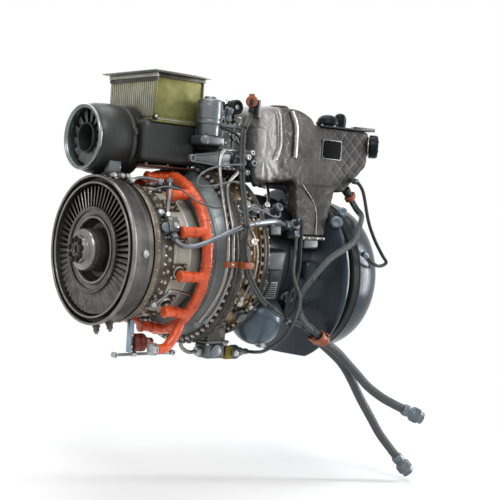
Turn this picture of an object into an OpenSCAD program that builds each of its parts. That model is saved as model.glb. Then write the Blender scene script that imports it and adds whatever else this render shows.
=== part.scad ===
// Turboshaft engine, bare, held by the flange at its drive end.
// X runs from the exhaust to the drive end, Z is up, millimetres.
// Lengths are worked out as stations behind the exhaust rim, and the whole
// is then moved so that the face of the drive end flange lies at the origin.

/* [Turbine] */
// Radius of the exhaust rim
rim_r = 180; // [178:1:200]
// Length of the turbine casing
turbine_l = 74; // [70:1:90]
// Radius of the casing where the clamp band sits
joint_r = 168; // [164:1:170]
// Thickness of the casing's back plate
back_plate_t = 18; // [12:1:18]
// Width of the clamp band
band_w = 16; // [10:1:18]
// Thickness of the clamp band
band_t = 6; // [3:0.5:8]
// Number of turbine blades
blade_count = 60; // [40:1:70]
// Radius of the blade tips
blade_tip_r = 152; // [140:1:154]
// Radius of the blade roots
blade_root_r = 103; // [98:1:110]
// Chord of a blade
blade_chord = 34; // [24:1:36]
// Thickness of a blade
blade_t = 2.4; // [1.5:0.1:3]
// Angle of the blades to the engine's axis
blade_stagger = 30; // [15:1:40]
// How far the hub stands out in front of the rim
hub_nose_l = 45; // [30:1:70]
// Radius of the hub's nose
hub_nose_r = 35; // [30:1:40]
// Radius of the turbine shaft
shaft_r = 25; // [15:1:30]

/* [Casings] */
// Length of the bolted flange of the combustor
combustor_flange_l = 26; // [16:1:40]
// Radius of the combustor drum
combustor_r = 150; // [140:1:154]
// Length of the combustor behind its flange
combustor_l = 116; // [110:1:140]
// Number of fuel nozzles
nozzle_count = 11; // [6:1:12]
// Radius of the fuel manifold ring
manifold_r = 190; // [186:1:200]
// Radius of the manifold's sleeved tube
manifold_tube_r = 13.5; // [9:0.5:13.5]
// Length of the conical shroud
cone_l = 46; // [30:1:60]
// Front radius of the conical shroud
cone_front_r = 176; // [165:1:190]
// Rear radius of the conical shroud
cone_rear_r = 212; // [195:1:220]
// Thickness of the main flange
main_flange_t = 30; // [20:1:40]
// Radius of the main flange
main_flange_r = 228; // [215:1:232]
// Length of the hot casing
hot_l = 74; // [70:1:90]
// Radius of the hot casing
hot_r = 200; // [190:1:206]
// Thickness of the rear flange
rear_flange_t = 20; // [12:1:30]
// Radius of the rear flange
rear_flange_r = 212; // [208:1:214]
// Length of the intake neck
neck_l = 154; // [150:1:170]
// Radius of the intake neck
neck_r = 160; // [150:1:164]

/* [Intake] */
// How far the intake's own axis lies below the engine's
intake_drop = 48; // [30:1:52]
// Length of the front bell
bell_l = 110; // [90:1:120]
// Radius of the bell at the neck
bell_neck_r = 150; // [120:1:160]
// Radius of the bell's rim
bell_rim_r = 236; // [220:1:240]
// Length of the bell's cylindrical rim
bell_lip_l = 14; // [6:1:20]
// Depth of the flat under the bell, below the engine's axis
bell_flat_z = 265; // [255:1:280]
// Width of the ring of air openings
air_gap = 40; // [30:1:60]
// Radius of the core inside the air openings
core_r = 140; // [110:1:145]
// Number of struts across the air openings
strut_count = 8; // [4:4:8]
// Thickness of a strut
strut_t = 10; // [6:1:14]
// Length of the rear dome
dome_l = 125; // [100:1:140]
// Radius of the rear dome
dome_r = 210; // [200:1:215]
// Radius of the dome's flat end
dome_end_r = 160; // [155:1:170]

/* [Drive end mount] */
// Radius of the drive end flange
mount_r = 104; // [100:1:110]
// Thickness of the drive end flange
mount_t = 20; // [14:1:26]
// Radius of the collar behind the flange
collar_r = 76; // [60:1:78]
// Length of the collar behind the flange
collar_l = 25; // [20:1:40]
// Number of bolts in the flange
mount_bolts = 8; // [6:2:12]
// Diameter of the bolt circle
mount_pcd = 180; // [176:1:184]
// Diameter of a bolt hole
mount_hole_d = 11; // [8:0.5:13]

/* [Fan and cooler] */
// Distance of the fan's axis behind the engine's vertical plane
fan_y = 55; // [45:1:65]
// Height of the fan's axis above the turbine casing
fan_rise = 88; // [88:1:98]
// Radius of the fan housing
fan_r = 87; // [84:1:87]
// Length of the fan housing
fan_l = 100; // [90:1:110]
// Radius of the fan's air way
fan_bore_r = 71; // [66:1:74]
// Length of the inlet lip in front of the housing
fan_lip_l = 8; // [5:1:12]
// Radius of the inlet lip
fan_lip_r = 79.4; // [77:0.2:82]
// Number of fan blades
fan_blades = 14; // [9:1:16]
// Radius of the fan's hollow hub
fan_hub_r = 33; // [26:1:36]
// Radius of the fan's shaft
fan_shaft_r = 8; // [6:0.5:12]
// Length of the air duct behind the fan
duct_l = 160; // [150:1:161]
// Width of the air duct and the cooler
duct_w = 198; // [190:1:205]
// Height of the air duct
duct_h = 106; // [100:1:112]
// Length of the cooler core along the engine
cooler_l = 146; // [120:1:150]
// Height of the cooler core
cooler_h = 109; // [80:1:120]
// Thickness of the frame and of the top plate of the cooler
cooler_plate_t = 4; // [2:0.5:6]
// How far the top plate stands out around the core
cooler_edge = 16; // [6:1:20]

/* [Gearbox and filter] */
// Length of the accessory gearbox
gearbox_l = 99; // [96:1:110]
// Height of the accessory gearbox
gearbox_h = 115; // [112:1:125]
// Width of the accessory gearbox
gearbox_w = 185; // [180:1:190]
// Radius of the oil filter's bowl
filter_r = 31; // [24:1:33]
// Height of the oil filter
filter_h = 96; // [80:1:110]

/* [Insulated duct] */
// Width of the jacketed duct
jacket_w = 170; // [160:1:180]
// Radius of the cap on the jacket's end
side_cap_r = 32; // [26:1:33]
// Radius of the cap on the jacket's top
top_cap_r = 31; // [28:1:40]
// Thickness of the data plate
data_plate_t = 2; // [1:0.5:4]

/* [Pipes and cables] */
// Radius of the long cross pipe
pipe_r = 6; // [4:0.5:6]
// Radius of the thin steel tubes
tube_r = 4.5; // [3:0.5:5]
// Radius of the harness
harness_r = 10; // [7:0.5:10]
// Radius of the thin harness loops
loop_r = 4.5; // [3:0.5:5]
// Radius of the lead on the far side
far_lead_r = 7; // [5:0.5:7]
// Radius of the air tube on the far side
far_tube_r = 6; // [4:0.5:6]
// Radius of the free cables
cable_r = 11.5; // [8:0.5:12]
// Radius of a plug's coupling ring
plug_ring_r = 20; // [16:0.5:22]
// Length of a plug
plug_l = 60; // [45:1:70]

/* [Hidden] */
$fn = 96;
seat = 0.3;
running = 0.05;
blade_gap = 5.5;
turn_gap = 6;

// Stations behind the exhaust rim
combustor_x = turbine_l;
drum_x = combustor_x + combustor_flange_l;
cone_x = drum_x + combustor_l;
main_flange_x = cone_x + cone_l;
hot_x = main_flange_x + main_flange_t;
rear_flange_x = hot_x + hot_l;
neck_x = rear_flange_x + rear_flange_t;
bell_x = neck_x + neck_l;
core_x = bell_x + bell_l;
dome_x = core_x + air_gap;
collar_x = dome_x + dome_l;
mount_x = collar_x + collar_l;
face_x = mount_x + mount_t;

// Port on the intake neck that takes the cross pipe
port_x = 98;
port_r = 15;
port_h = 55;
port_root = 20;

// Turbine rotor
shroud_r = blade_tip_r + blade_gap;
shroud_t = 8.5;
rim_t = 7;
rim_land = 8;
groove_l = 22;
cup_floor_x = turbine_l - back_plate_t;
web_x = cup_floor_x + min(6, back_plate_t - band_w / 2 - 1);
disc_back_x = cup_floor_x - turn_gap;
platform_t = 10;
platform_front_x = 0;
platform_back_x = disc_back_x - 6;
disc_r = blade_root_r - platform_t - 0.1;
lip_r = disc_r - 11;
lip_t = 6;
recess_x = 12;
hub_r = hub_nose_r + 15;
nose_hole_r = 10;

// Fuel system
nozzle_r = 12;
nozzle_h = 12;
boss_r = 15;
root_fillet = 4;
boss_top = combustor_r + 10;
nozzle_x = drum_x + 52;
nozzle_top = boss_top + nozzle_h;
manifold_x = cone_x - manifold_tube_r - 2.5;
branch_r = manifold_tube_r - 0.5;
elbow_level = nozzle_top + branch_r;
nozzle_first = 17.8;
nozzle_pitch = 360 / nozzle_count;
feed_y = -110;
feed_start = [manifold_x, feed_y, -sqrt(manifold_r * manifold_r - feed_y * feed_y)];
feed_bend = feed_start + [-16, 0, -42];
feed_elbow = feed_start + [-42, 0, -70];
feed_end = feed_start + [-70, 0, -72];
feed_nut_l = 18;
block_angle = 24;
block_w = 40;
block_h = 34;
block_x = drum_x + root_fillet;
block_l = nozzle_x - boss_r - 1 - block_x;

// Fan, duct and cooler
stub_over_flange = 8;
stub_at = [60, 20];
stub_w = 80;
stub_top = 30;
casing_waist_r = max(joint_r + 3, shroud_r + shroud_t + 5);
fan_z = max(max(rim_r, casing_waist_r, joint_r + band_t) + fan_rise,
    main_flange_r + stub_over_flange - stub_at[1] + duct_h / 2 - 1);
fan_back_t = 20;
fan_blade_x = 18;
fan_blade_l = 34;
fan_tip_r = fan_bore_r - 5;
fan_hub_t = 3;
duct_near = 110;
duct_y = fan_y - duct_near;
duct_z = fan_z - duct_h / 2 + 1;
duct_top = duct_z + duct_h;
duct_end_x = fan_l + duct_l;
cooler_overhang = 11;
cooler_x = duct_end_x + cooler_overhang - cooler_l;
cooler_z = duct_top + cooler_plate_t;
cooler_top = cooler_z + cooler_h;
bracket_l = 25;
bracket_w = 30;
bracket_x = cup_floor_x - bracket_l;
bracket_y = fan_y - bracket_w / 2;
bracket_z = sqrt(pow(casing_top(bracket_x, bracket_x + bracket_l), 2) - bracket_y * bracket_y) + seat;

// Accessory gearbox on the pad of the hot casing
pad_x = hot_x + 8;
pad_l = hot_l - 16;
pad_level = max(rear_flange_r + 3, main_flange_r - 13);
pad_w = 120;
gearbox_x = hot_x + 4;
gearbox_y = -95;
gearbox_end_x = gearbox_x + gearbox_l;
gearbox_top = pad_level + gearbox_h;
arm_t = 12;
arm_root = [2, 6];
arm_root_size = [32, 40];
arm_reach = 87;
arm_eye = [gearbox_x - arm_reach, pad_level + 20];
arm_eye_r = 10;
head_h = 24;
head_l = 64;
head_w = 60;
head_out = 25;
head_x = gearbox_x - head_l;
head_z = pad_level + 55;
filter_x = head_x + filter_r;
filter_y = gearbox_y + 3;
filter_z = head_z + head_h;
connector_r = 18;

// Jacketed duct, as lengths behind the gearbox and heights over its pad
jacket_y = -130;
bell_clear = 1;
jacket_back_y = jacket_y + jacket_w;
crown = [136, 175];
ridge = [207, 137];
tail = [449, 143];
heel = [449, 80];
sole = [323, -37];
instep = [143, -37];
clamp_tab = [12, 181];
jacket_outline = [[0, -20], [0, clamp_tab[1]], clamp_tab, clamp_tab + [4, -14], [46, 172], crown, [165, 168],
    [192, 157], ridge, tail, heel, sole, instep, [138, -14], [30, -25]];
corner = [404, 0];
corner_cut = [tail[0], 51];
ridge_slope = atan2(ridge[1] - tail[1], tail[0] - ridge[0]);
heel_slope = atan2(heel[1] - sole[1], heel[0] - sole[0]);
leg_top = [[143, 0], [295, 60]];
leg_foot = [[109, -60], [201, -32]];
leg_h = 118;
top_cap_at = 103;
top_cap_h = 36;
side_cap_t = 24;
side_stem_l = 4;
side_cap_level = 101;
plate_at = [226, 52];
plate_size = [72, 52];
clamp_block = 28;
top_clamp_h = 15;
top_clamp_at = 165;
rear_clamp_at = 22;
rear_clamp_h = 38;

// Lower units
pump_l = pad_l + 14;
pump_h = 47;
valve_l = 68;
sump_r = 70;
sump_behind = 82;
sump_at = [neck_x + sump_behind, -85, -160];
strap_x = turbine_l + band_w / 2 + 1;
strap_l = drum_x - 4 - strap_x;
strap_y = -66;
strap_w = 14;
strap_z = -240;
valve_r = 22;
link_t = 10;
link_l = 185;
link_front = 60;
pump_y = -95;
pump_w = 70;
valve_y = -84;
valve_w = 40;
drain_r = 8;
drain_h = 22;
// Reach of the tube clips in front of the main flange, and of a tube's bend around it
clip_reach = 46;
clip_t = 6;
clip_w = 14;
clip_z = -20;
clip_rise = max(17, cone_rear_r + 5 - main_flange_r);
route_reach = 30;
// Radius of the flange and of the bell that the routes are laid around
laid_r = 228;
laid_bell_r = 236;
// Stations and angles of the two drain fittings
drain_places = [[16, -83], [28, -71]];

// Routes, in stations behind the exhaust rim
cross_route = [[120, -164, 50], [121, -184, 30], [132, -212, 24], [165, -232, 36], [226, -252, 66],
    [290, -250, 86], [376, -230, 94], [424, -202, 90], [452, -186, 87], [460, -186, 87], [468, -186, 87]];
tube_front_route = [[330, -96, 262], [330, -118, 262], [300, -140, 262], [268, -146, 255],
    [256, -152, 230], [248, -168, 190], [236, -200, 130], [228, -229, 72], [226, -239, 20],
    [224, -240, -20], [220, -228, -74], [205, -196, -135], [196, -172, -165]];
tube_rear_route = [[345, -96, 236], [345, -116, 234], [322, -150, 214], [276, -168, 182],
    [258, -186, 150], [248, -212, 110], [245, -229, 72], [241, -239, 20], [241, -237, -38],
    [228, -208, -119], [212, -184, -156]];
igniter_route = [[138, -114, 178], [126, -132, 152], [120, -137, 108], [118, -144, 87]];
harness_main_route = [[381, -112, 379], [381, -112, 370], [381, -112, 361], [352, -137, 340], [325, -153, 308],
    [317, -162, 264], [302, -184, 202], [284, -218, 141], [250, -274, 78], [246, -274, 36],
    [264, -266, -12], [296, -248, -48], [356, -228, -99], [433, -210, -138], [515, -196, -164],
    [547, -187, -176.4], [559, -187, -184.4], [571, -187, -192.4]];
harness_rear_route = [[760.4, -115, 164.7], [765.8, -115, 158.9], [771.2, -115, 153], [777, -123, 139],
    [769, -150, 120], [716, -194, 92],
    [648, -240, 52], [560, -246, 8], [500, -244, -47], [474, -236, -85], [480, -228, -122],
    [510, -218, -154], [547, -213, -176.4], [559, -213, -184.4], [571, -213, -192.4]];
loop_front_route = [[484, -195, 92], [482, -212, 100], [472, -228, 88], [469, -230, 26], [470, -228, -29],
    [440, -238, -80], [424, -238, -132], [446, -236, -164]];
loop_low_route = [[484, -192, 73.4], [483.5, -195.4, 66.2], [482, -199, 58], [462, -220, 20], [444, -236, -20],
    [441, -246, -50], [455, -252, -85], [453, -252, -120], [442, -252, -150], [431, -240, -183],
    [434, -200, -213], [448, -142, -238], [462, -100, -247], [463, -78, -249.5], [455, -65, -249.5],
    [448, -64, -249.5], [440.4, -64, -249.5]];
// Lines on the far side, from the hot casing and the gearbox to the intake neck
far_tube_route = [[318, 198.1, 30.1], [318, 205, 31.1], [319, 214, 32], [332, 226, 28], [356, 231, 16],
    [384, 226, 0], [414, 206, -20], [440, 184, -42], [456, 168, -57], [460, 160.5, -58.4], [460, 150.9, -54.9]];
far_drain_route = [[318, 183.2, -81.6], [318, 189, -84.2], [319, 198, -88], [334, 210, -92], [360, 214, -96],
    [390, 206, -98], [430, 178, -100], [480, 152, -102], [496, 142, -99.4], [500, 138, -96.6], [500, 131.5, -92.1]];
far_lead_route = [[350, 90.4, 262], [350, 98, 262], [351, 108, 262], [356, 140, 246], [364, 172, 212],
    [376, 206, 158], [390, 222, 92], [416, 210, 36], [446, 190, 4], [470, 178, -11.5], [478, 170, -11.9],
    [478, 160.2, -11.2]];
loop_rear_route = [[745, -130, 216], [746, -138, 215], [747, -146, 213], [750, -168, 186],
    [738, -205, 110], [752, -220, 60], [785, -221, 20], [802, -221, 0], [765, -221, -8], [706, -224, 24]];
bundle_at = [584, -200, -201];
bundle_tilt = atan2(2, 3);
bundle_l = 30;
bundle_h = 30;
cable_step = 26;
cable_upper_route = [[597, -213, -209.7], [603, -213, -213.7], [612, -213, -219.7], [627, -215, -229],
    [646, -220, -243.5], [668, -230, -267], [690, -243, -292], [718, -263, -326], [748, -286, -352],
    [772, -304, -367], [783, -312, -373], [794, -320, -379]];
cable_lower_route = [[597, -187, -209.7], [603, -187, -213.7], [612, -187, -219.7], [627, -189, -230],
    [648, -194, -246], [670, -201, -266], [688, -209, -290], [704, -217, -318], [726, -231, -364],
    [748, -248, -408], [771, -266, -454], [796, -285, -492], [802, -290, -501], [808, -295, -510]];

// Radius of the tapered turbine casing at a station
function casing_r(x) = rim_r + (casing_waist_r - rim_r) * max(0, x - rim_land) / (cup_floor_x - rim_land);
function casing_top(from, to) = max(casing_r(from), casing_r(to));
// A route moved out where a larger main flange needs the room
function beside(x, from, to) = max(0, 1 - max(0, from - x, x - to) / route_reach);
function pushed(p, drop, by) = p + by / norm([p[1], p[2] + drop]) * [0, p[1], p[2] + drop];
function laid(route) = [for (p = route)
    pushed(p, 0, max(0, main_flange_r - laid_r) * beside(p[0], main_flange_x - clip_reach, hot_x))];
function laid_by_bell(route) = [for (p = route)
    pushed(p, intake_drop, max(0, bell_rim_r - laid_bell_r) * beside(p[0], bell_x + bell_l / 2, dome_x))];
function unit(v) = v / norm(v);
function hold(i, n) = max(0, min(n - 1, i));
// A curve through four points, at u from the second to the third
function curve(a, b, c, d, u) =
    0.5 * (2 * b + (c - a) * u + (2 * a - 5 * b + 4 * c - d) * u * u + (3 * b - a - 3 * c + d) * u * u * u);
// The route with extra rings between its points, straight at both ends
function smooth(route, steps) = let (n = len(route)) concat(
    [for (i = [0:n - 2]) for (s = [0:steps - 1])
        curve(route[hold(i - 1, n)], route[i], route[i + 1], route[hold(i + 2, n)], s / steps)],
    [route[n - 1]]);
function heading(path, i) = let (n = len(path)) unit(path[hold(i + 1, n)] - path[hold(i - 1, n)]);
function ring(at, along, r, sides, side) = let (u = unit(cross(side, along)), v = cross(along, u))
    [for (k = [0:sides - 1]) at + r * (cos(360 * k / sides) * u + sin(360 * k / sides) * v)];

// A tube of radius r along a route, with a ring of points at every step
module tube(route, r, steps = 3, sides = 10, side = [0, 1, 0]) {
    path = smooth(route, steps);
    n = len(path);
    points = [for (i = [0:n - 1]) for (p = ring(path[i], heading(path, i), r, sides, side)) p];
    front = [[for (k = [0:sides - 1]) k]];
    wall = [for (i = [0:n - 2]) for (k = [0:sides - 1])
        [i * sides + k, (i + 1) * sides + k, (i + 1) * sides + (k + 1) % sides, i * sides + (k + 1) % sides]];
    back = [[for (k = [sides - 1:-1:0]) (n - 1) * sides + k]];
    polyhedron(points, concat(front, wall, back));
}

// A body turned about the engine's axis, from points of radius and station
module turned(points) rotate([0, 90, 0]) rotate_extrude($fn = 128) polygon(points);

// A cylinder along X
module bar(x, l, r) translate([x, 0, 0]) rotate([0, 90, 0]) cylinder(h = l, r = r);

// A child standing outward on the near side, at an angle above the horizontal
module radial(angle) rotate([90 - angle, 0, 0]) children();

// A child whose Z axis points along a heading
module aimed(at, along) translate(at)
    rotate([0, acos(along[2] / norm(along)), atan2(along[1], along[0])]) children();

module at_intake() translate([0, 0, -intake_drop]) children();
module at_fan() translate([0, fan_y, fan_z]) children();
module at_jacket() translate([gearbox_end_x, 0, pad_level]) children();

module turbine_casing() color("dimgray") turned([
    [rim_r, 0], [rim_r, rim_land], [casing_waist_r, cup_floor_x], [casing_waist_r, web_x], [joint_r, web_x],
    [joint_r, turbine_l],
    [shaft_r + running, turbine_l], [shaft_r + running, cup_floor_x], [shroud_r, cup_floor_x], [shroud_r, 0],
    [shroud_r + shroud_t, 0], [shroud_r + shroud_t, groove_l], [rim_r - rim_t, groove_l], [rim_r - rim_t, 0]]);

module turbine_disc() color("silver") turned([
    [0, -hub_nose_l + 14], [nose_hole_r, -hub_nose_l + 14], [nose_hole_r, -hub_nose_l],
    [hub_nose_r - 2, -hub_nose_l], [hub_nose_r, -hub_nose_l + 2], [hub_nose_r, -hub_nose_l + 18],
    [hub_r - 3, -hub_nose_l + 24], [hub_r, -6], [hub_r, recess_x], [lip_r - lip_t, recess_x],
    [lip_r - lip_t, 4], [lip_r, 4], [lip_r, recess_x - 2], [disc_r, 6], [disc_r, platform_back_x], [shaft_r + 20, disc_back_x],
    [shaft_r, disc_back_x], [shaft_r, turbine_l - 2], [0, turbine_l - 2]]);

module turbine_blades() color("gray") union() {
    turned([[blade_root_r - platform_t, platform_front_x], [blade_root_r, platform_front_x],
        [blade_root_r, platform_back_x], [blade_root_r - platform_t, platform_back_x]]);
    for (k = [0:blade_count - 1]) rotate([k * 360 / blade_count, 0, 0])
        translate([platform_back_x / 2, 0, blade_root_r - 2]) rotate([0, 0, blade_stagger])
            translate([-blade_chord / 2, -blade_t / 2, 0])
                cube([blade_chord, blade_t, blade_tip_r - blade_root_r + 2]);
}

module clamp_band() color("tan") turned([
    [joint_r + seat, turbine_l - band_w / 2], [joint_r + band_t, turbine_l - band_w / 2],
    [joint_r + band_t, turbine_l + band_w / 2], [joint_r + seat, turbine_l + band_w / 2]]);

module combustor_casing() color("wheat") union() {
    turned([[0, combustor_x], [joint_r, combustor_x], [joint_r, drum_x], [combustor_r + root_fillet, drum_x],
        [combustor_r, drum_x + root_fillet], [combustor_r, cone_x], [0, cone_x]]);
    for (k = [0:nozzle_count - 1]) radial(nozzle_first + k * nozzle_pitch)
        translate([nozzle_x, 0, combustor_r - 20]) cylinder(h = boss_top - combustor_r + 20, r = boss_r);
}

module fuel_nozzles() color("darkgray") for (k = [0:nozzle_count - 1])
    radial(nozzle_first + k * nozzle_pitch) translate([nozzle_x, 0, boss_top])
        cylinder(h = nozzle_h, r = nozzle_r);

module fuel_manifold() color("orangered") union() {
    translate([manifold_x, 0, 0]) rotate([0, 90, 0]) rotate_extrude($fn = 88)
        translate([manifold_r, 0]) circle(r = manifold_tube_r, $fn = 14);
    for (k = [0:nozzle_count - 1]) radial(nozzle_first + k * nozzle_pitch) {
        hull() {
            translate([nozzle_x, 0, elbow_level]) sphere(r = branch_r, $fn = 16);
            translate([nozzle_x, 0, nozzle_top]) cylinder(h = 1, r = branch_r - 1, $fn = 16);
        }
        hull() {
            translate([nozzle_x, 0, elbow_level]) sphere(r = branch_r, $fn = 16);
            translate([manifold_x, 0, manifold_r]) sphere(r = branch_r, $fn = 16);
        }
    }
    feed = [feed_start, feed_bend, feed_elbow, feed_end];
    for (i = [0:2]) hull() {
        translate(feed[i]) sphere(r = branch_r, $fn = 16);
        translate(feed[i + 1]) rotate([0, 90, 0]) cylinder(h = 1, r = branch_r, $fn = 16);
    }
}

module feed_nut() color("silver") translate(feed_end) bar(-feed_nut_l, feed_nut_l, branch_r + 2);

module fuel_block() color("gray") radial(block_angle)
    translate([block_x, -block_w / 2, combustor_r + seat]) cube([block_l, block_w, block_h]);

module shroud_cone() color("slategray") turned([
    [0, cone_x], [cone_front_r, cone_x], [cone_rear_r, main_flange_x], [0, main_flange_x]]);

module main_flange() color("gray") bar(main_flange_x, main_flange_t, main_flange_r);

module hot_casing() color("peru") union() {
    bar(hot_x, hot_l, hot_r);
    translate([pad_x, -pad_w / 2, 0]) cube([pad_l, pad_w, pad_level]);
    translate([pad_x, -pad_w / 2 - 35, -pad_level]) cube([pad_l, pad_w / 2 + 10, pad_level]);
}

module rear_flange() color("gray") bar(rear_flange_x, rear_flange_t, rear_flange_r);

module intake_neck() color("dimgray") union() {
    bar(neck_x, neck_l, neck_r);
    radial(25.2) translate([neck_x + port_x, 0, neck_r - port_root])
        cylinder(h = port_h + port_root, r = port_r);
}

// The flared bell about the intake's axis, with its rim drawn out at both ends by an extra length
module bell_turned(neck_r, edge_r, extra = 0) {
    flare_l = bell_l - bell_lip_l;
    turned(concat(
        [[0, bell_x - extra]],
        [for (t = [0:0.125:1]) [neck_r + (edge_r - neck_r) * pow(t, 3), bell_x - extra + flare_l * t]],
        [[edge_r, core_x + extra], [0, core_x + extra]]));
}

module intake_front_bell() color("slategray") intersection() {
    at_intake() bell_turned(bell_neck_r, bell_rim_r);
    translate([bell_x - 1, -bell_rim_r - 1, -bell_flat_z])
        cube([bell_l + 2, 2 * bell_rim_r + 2, bell_flat_z + bell_rim_r]);
}

module intake_core() color("black") at_intake() union() {
    bar(core_x, air_gap, core_r);
    for (k = [0:strut_count - 1]) rotate([(k + 0.5) * 360 / strut_count, 0, 0])
        translate([core_x, -strut_t / 2, core_r - 10]) cube([air_gap, strut_t, dome_r - core_r - 2]);
}

module intake_rear_dome() color("slategray") at_intake() turned(concat(
    [[0, dome_x]],
    [for (t = [0:0.1:1]) [dome_end_r + (dome_r - dome_end_r) * sqrt(1 - pow(t, 3)), dome_x + dome_l * t]],
    [[0, collar_x]]));

module drive_flange() color("gray") difference() {
    union() {
        bar(collar_x, collar_l, collar_r);
        bar(mount_x, mount_t, mount_r);
    }
    for (k = [0:mount_bolts - 1]) rotate([(k + 0.5) * 360 / mount_bolts, 0, 0])
        translate([0, 0, mount_pcd / 2]) bar(mount_x - 1, mount_t + 2, mount_hole_d / 2);
}

module fan_housing() color("dimgray") at_fan() turned([
    [fan_bore_r, 0], [fan_lip_r, 0], [fan_r, 14], [fan_r, fan_l], [fan_shaft_r + running, fan_l],
    [fan_shaft_r + running, fan_l - fan_back_t], [fan_bore_r, fan_l - fan_back_t]]);

module fan_lip() color("silver") at_fan() turned([
    [fan_bore_r, -fan_lip_l], [fan_lip_r - 2, -fan_lip_l], [fan_lip_r, 2 - fan_lip_l],
    [fan_lip_r, 0], [fan_bore_r, 0]]);

module fan_rotor() color("gray") at_fan() union() {
    turned([[0, fan_blade_x + fan_blade_l - 6], [fan_hub_r - fan_hub_t, fan_blade_x + fan_blade_l - 6],
        [fan_hub_r - fan_hub_t, fan_blade_x - 8], [fan_hub_r, fan_blade_x - 8],
        [fan_hub_r, fan_blade_x + fan_blade_l], [fan_shaft_r, fan_blade_x + fan_blade_l],
        [fan_shaft_r, fan_l - 2], [0, fan_l - 2]]);
    for (k = [0:fan_blades - 1]) rotate([k * 360 / fan_blades, 0, 0])
        translate([fan_blade_x + fan_blade_l / 2, 0, fan_hub_r - 1.5]) rotate([0, 0, 40])
            translate([-fan_blade_l / 2, -1.25, 0]) cube([fan_blade_l, 2.5, fan_tip_r - fan_hub_r]);
}

module fan_bracket() color("dimgray") translate([bracket_x, bracket_y, bracket_z])
    cube([bracket_l, bracket_w, fan_z - fan_r - seat - bracket_z]);

module fan_duct() color("dimgray") union() {
    translate([fan_l, duct_y, duct_z]) cube([duct_l, duct_w, duct_h]);
    translate([duct_end_x - 1, duct_y + stub_at[0], duct_z + stub_at[1]])
        cube([gearbox_x - duct_end_x + 1, stub_w, duct_h - stub_at[1] - stub_top]);
}

module oil_cooler() color("olive") translate([cooler_x, duct_y, cooler_z]) cube([cooler_l, duct_w, cooler_h]);

module cooler_frame() color("gray") {
    translate([cooler_x, duct_y, duct_top]) cube([cooler_l, duct_w, cooler_plate_t]);
    translate([cooler_x - cooler_edge, duct_y - cooler_edge, cooler_top])
        cube([cooler_l + 2 * cooler_edge, duct_w + 2 * cooler_edge, cooler_plate_t]);
}

module accessory_gearbox() color("darkgray")
    translate([gearbox_x, gearbox_y, pad_level]) cube([gearbox_l, gearbox_w, gearbox_h]);

module gearbox_arm() color("darkgray") translate([0, gearbox_y, 0]) rotate([90, 0, 0]) linear_extrude(arm_t)
    difference() {
        hull() {
            translate(arm_eye) circle(r = arm_eye_r, $fn = 32);
            translate([gearbox_x + arm_root[0], pad_level + arm_root[1]]) square(arm_root_size);
        }
        translate(arm_eye) circle(r = arm_eye_r / 2, $fn = 32);
    }

module filter_head() color("lightslategray") translate([head_x, gearbox_y - head_out, head_z])
    cube([head_l, head_w, head_h]);

module oil_filter() color("lightsteelblue") translate([filter_x, filter_y, filter_z]) {
    cylinder(h = filter_h * 0.3, r = filter_r - 3);
    translate([0, 0, filter_h * 0.3]) cylinder(h = filter_h * 0.62, r = filter_r);
    translate([0, 0, filter_h * 0.92]) cylinder(h = filter_h * 0.08, r = filter_r / 2);
}

module gearbox_connector() color("black") translate([gearbox_x + 56, -60, gearbox_top]) union() {
    cylinder(h = 44, r = connector_r);
    translate([0, 0, 44]) rotate([90, 0, 0]) cylinder(h = 34, r = connector_r);
}

// The front bell with the room that the soft jacket leaves around it
module bell_room() at_intake() bell_turned(bell_neck_r + bell_clear, bell_rim_r + bell_clear, bell_clear);

module insulation_jacket() color("silver") difference() {
    at_jacket() intersection() {
        translate([0, jacket_back_y, 0]) rotate([90, 0, 0]) linear_extrude(jacket_w) polygon(jacket_outline);
        translate([0, jacket_y, sole[1] - 1]) linear_extrude(crown[1] - sole[1] + 20) polygon([
            [0, 0], corner, corner_cut, [tail[0], jacket_w], [0, jacket_w]]);
    }
    bell_room();
}

module jacket_leg() color("silver") difference() {
    at_jacket() translate([0, jacket_y, sole[1]]) hull() {
        translate([leg_top[0][0], leg_top[0][1], -1])
            cube([leg_top[1][0] - leg_top[0][0], leg_top[1][1] - leg_top[0][1], 1]);
        translate([leg_foot[0][0], leg_foot[0][1], -leg_h])
            cube([leg_foot[1][0] - leg_foot[0][0], leg_foot[1][1] - leg_foot[0][1], 1]);
    }
    bell_room();
}

module data_plate() color("black") at_jacket() translate([plate_at[0], jacket_y - data_plate_t, plate_at[1]])
    cube([plate_size[0], data_plate_t, plate_size[1]]);

module top_cap() color("darkslategray") at_jacket() translate([ridge[0], jacket_y + 70, ridge[1]])
    rotate([0, ridge_slope, 0]) translate([top_cap_at, 0, 0]) cylinder(h = top_cap_h, r = top_cap_r);

module side_cap() color("darkslategray") at_jacket() {
    mid = corner + 0.4 * (corner_cut - corner);
    cut = corner_cut - corner;
    aimed([mid[0], jacket_y + mid[1], side_cap_level], [cut[1], -cut[0], 0]) union() {
        cylinder(h = side_stem_l, r = side_cap_r * 0.6);
        translate([0, 0, side_stem_l]) cylinder(h = side_cap_t, r = side_cap_r);
    }
}

module cross_pipe() color("slategray") tube(laid(cross_route), pipe_r, 4);

module steel_tubes() color("silver") {
    tube(laid(tube_front_route), tube_r);
    tube(laid(tube_rear_route), tube_r);
    tube(igniter_route, tube_r);
}

module far_tubes() color("silver") {
    tube(far_tube_route, far_tube_r, 3, 10, [0, 0, 1]);
    tube(far_drain_route, tube_r, 3, 10, [0, 0, 1]);
}

module tube_clips() color("orangered") union() {
    translate([main_flange_x + 4, -main_flange_r - clip_rise, clip_z])
        cube([main_flange_t - 8, clip_rise - seat, clip_w]);
    translate([main_flange_x - clip_reach, -main_flange_r - clip_rise - clip_t, clip_z])
        cube([main_flange_t + clip_reach - 4, clip_t, clip_w]);
}

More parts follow.
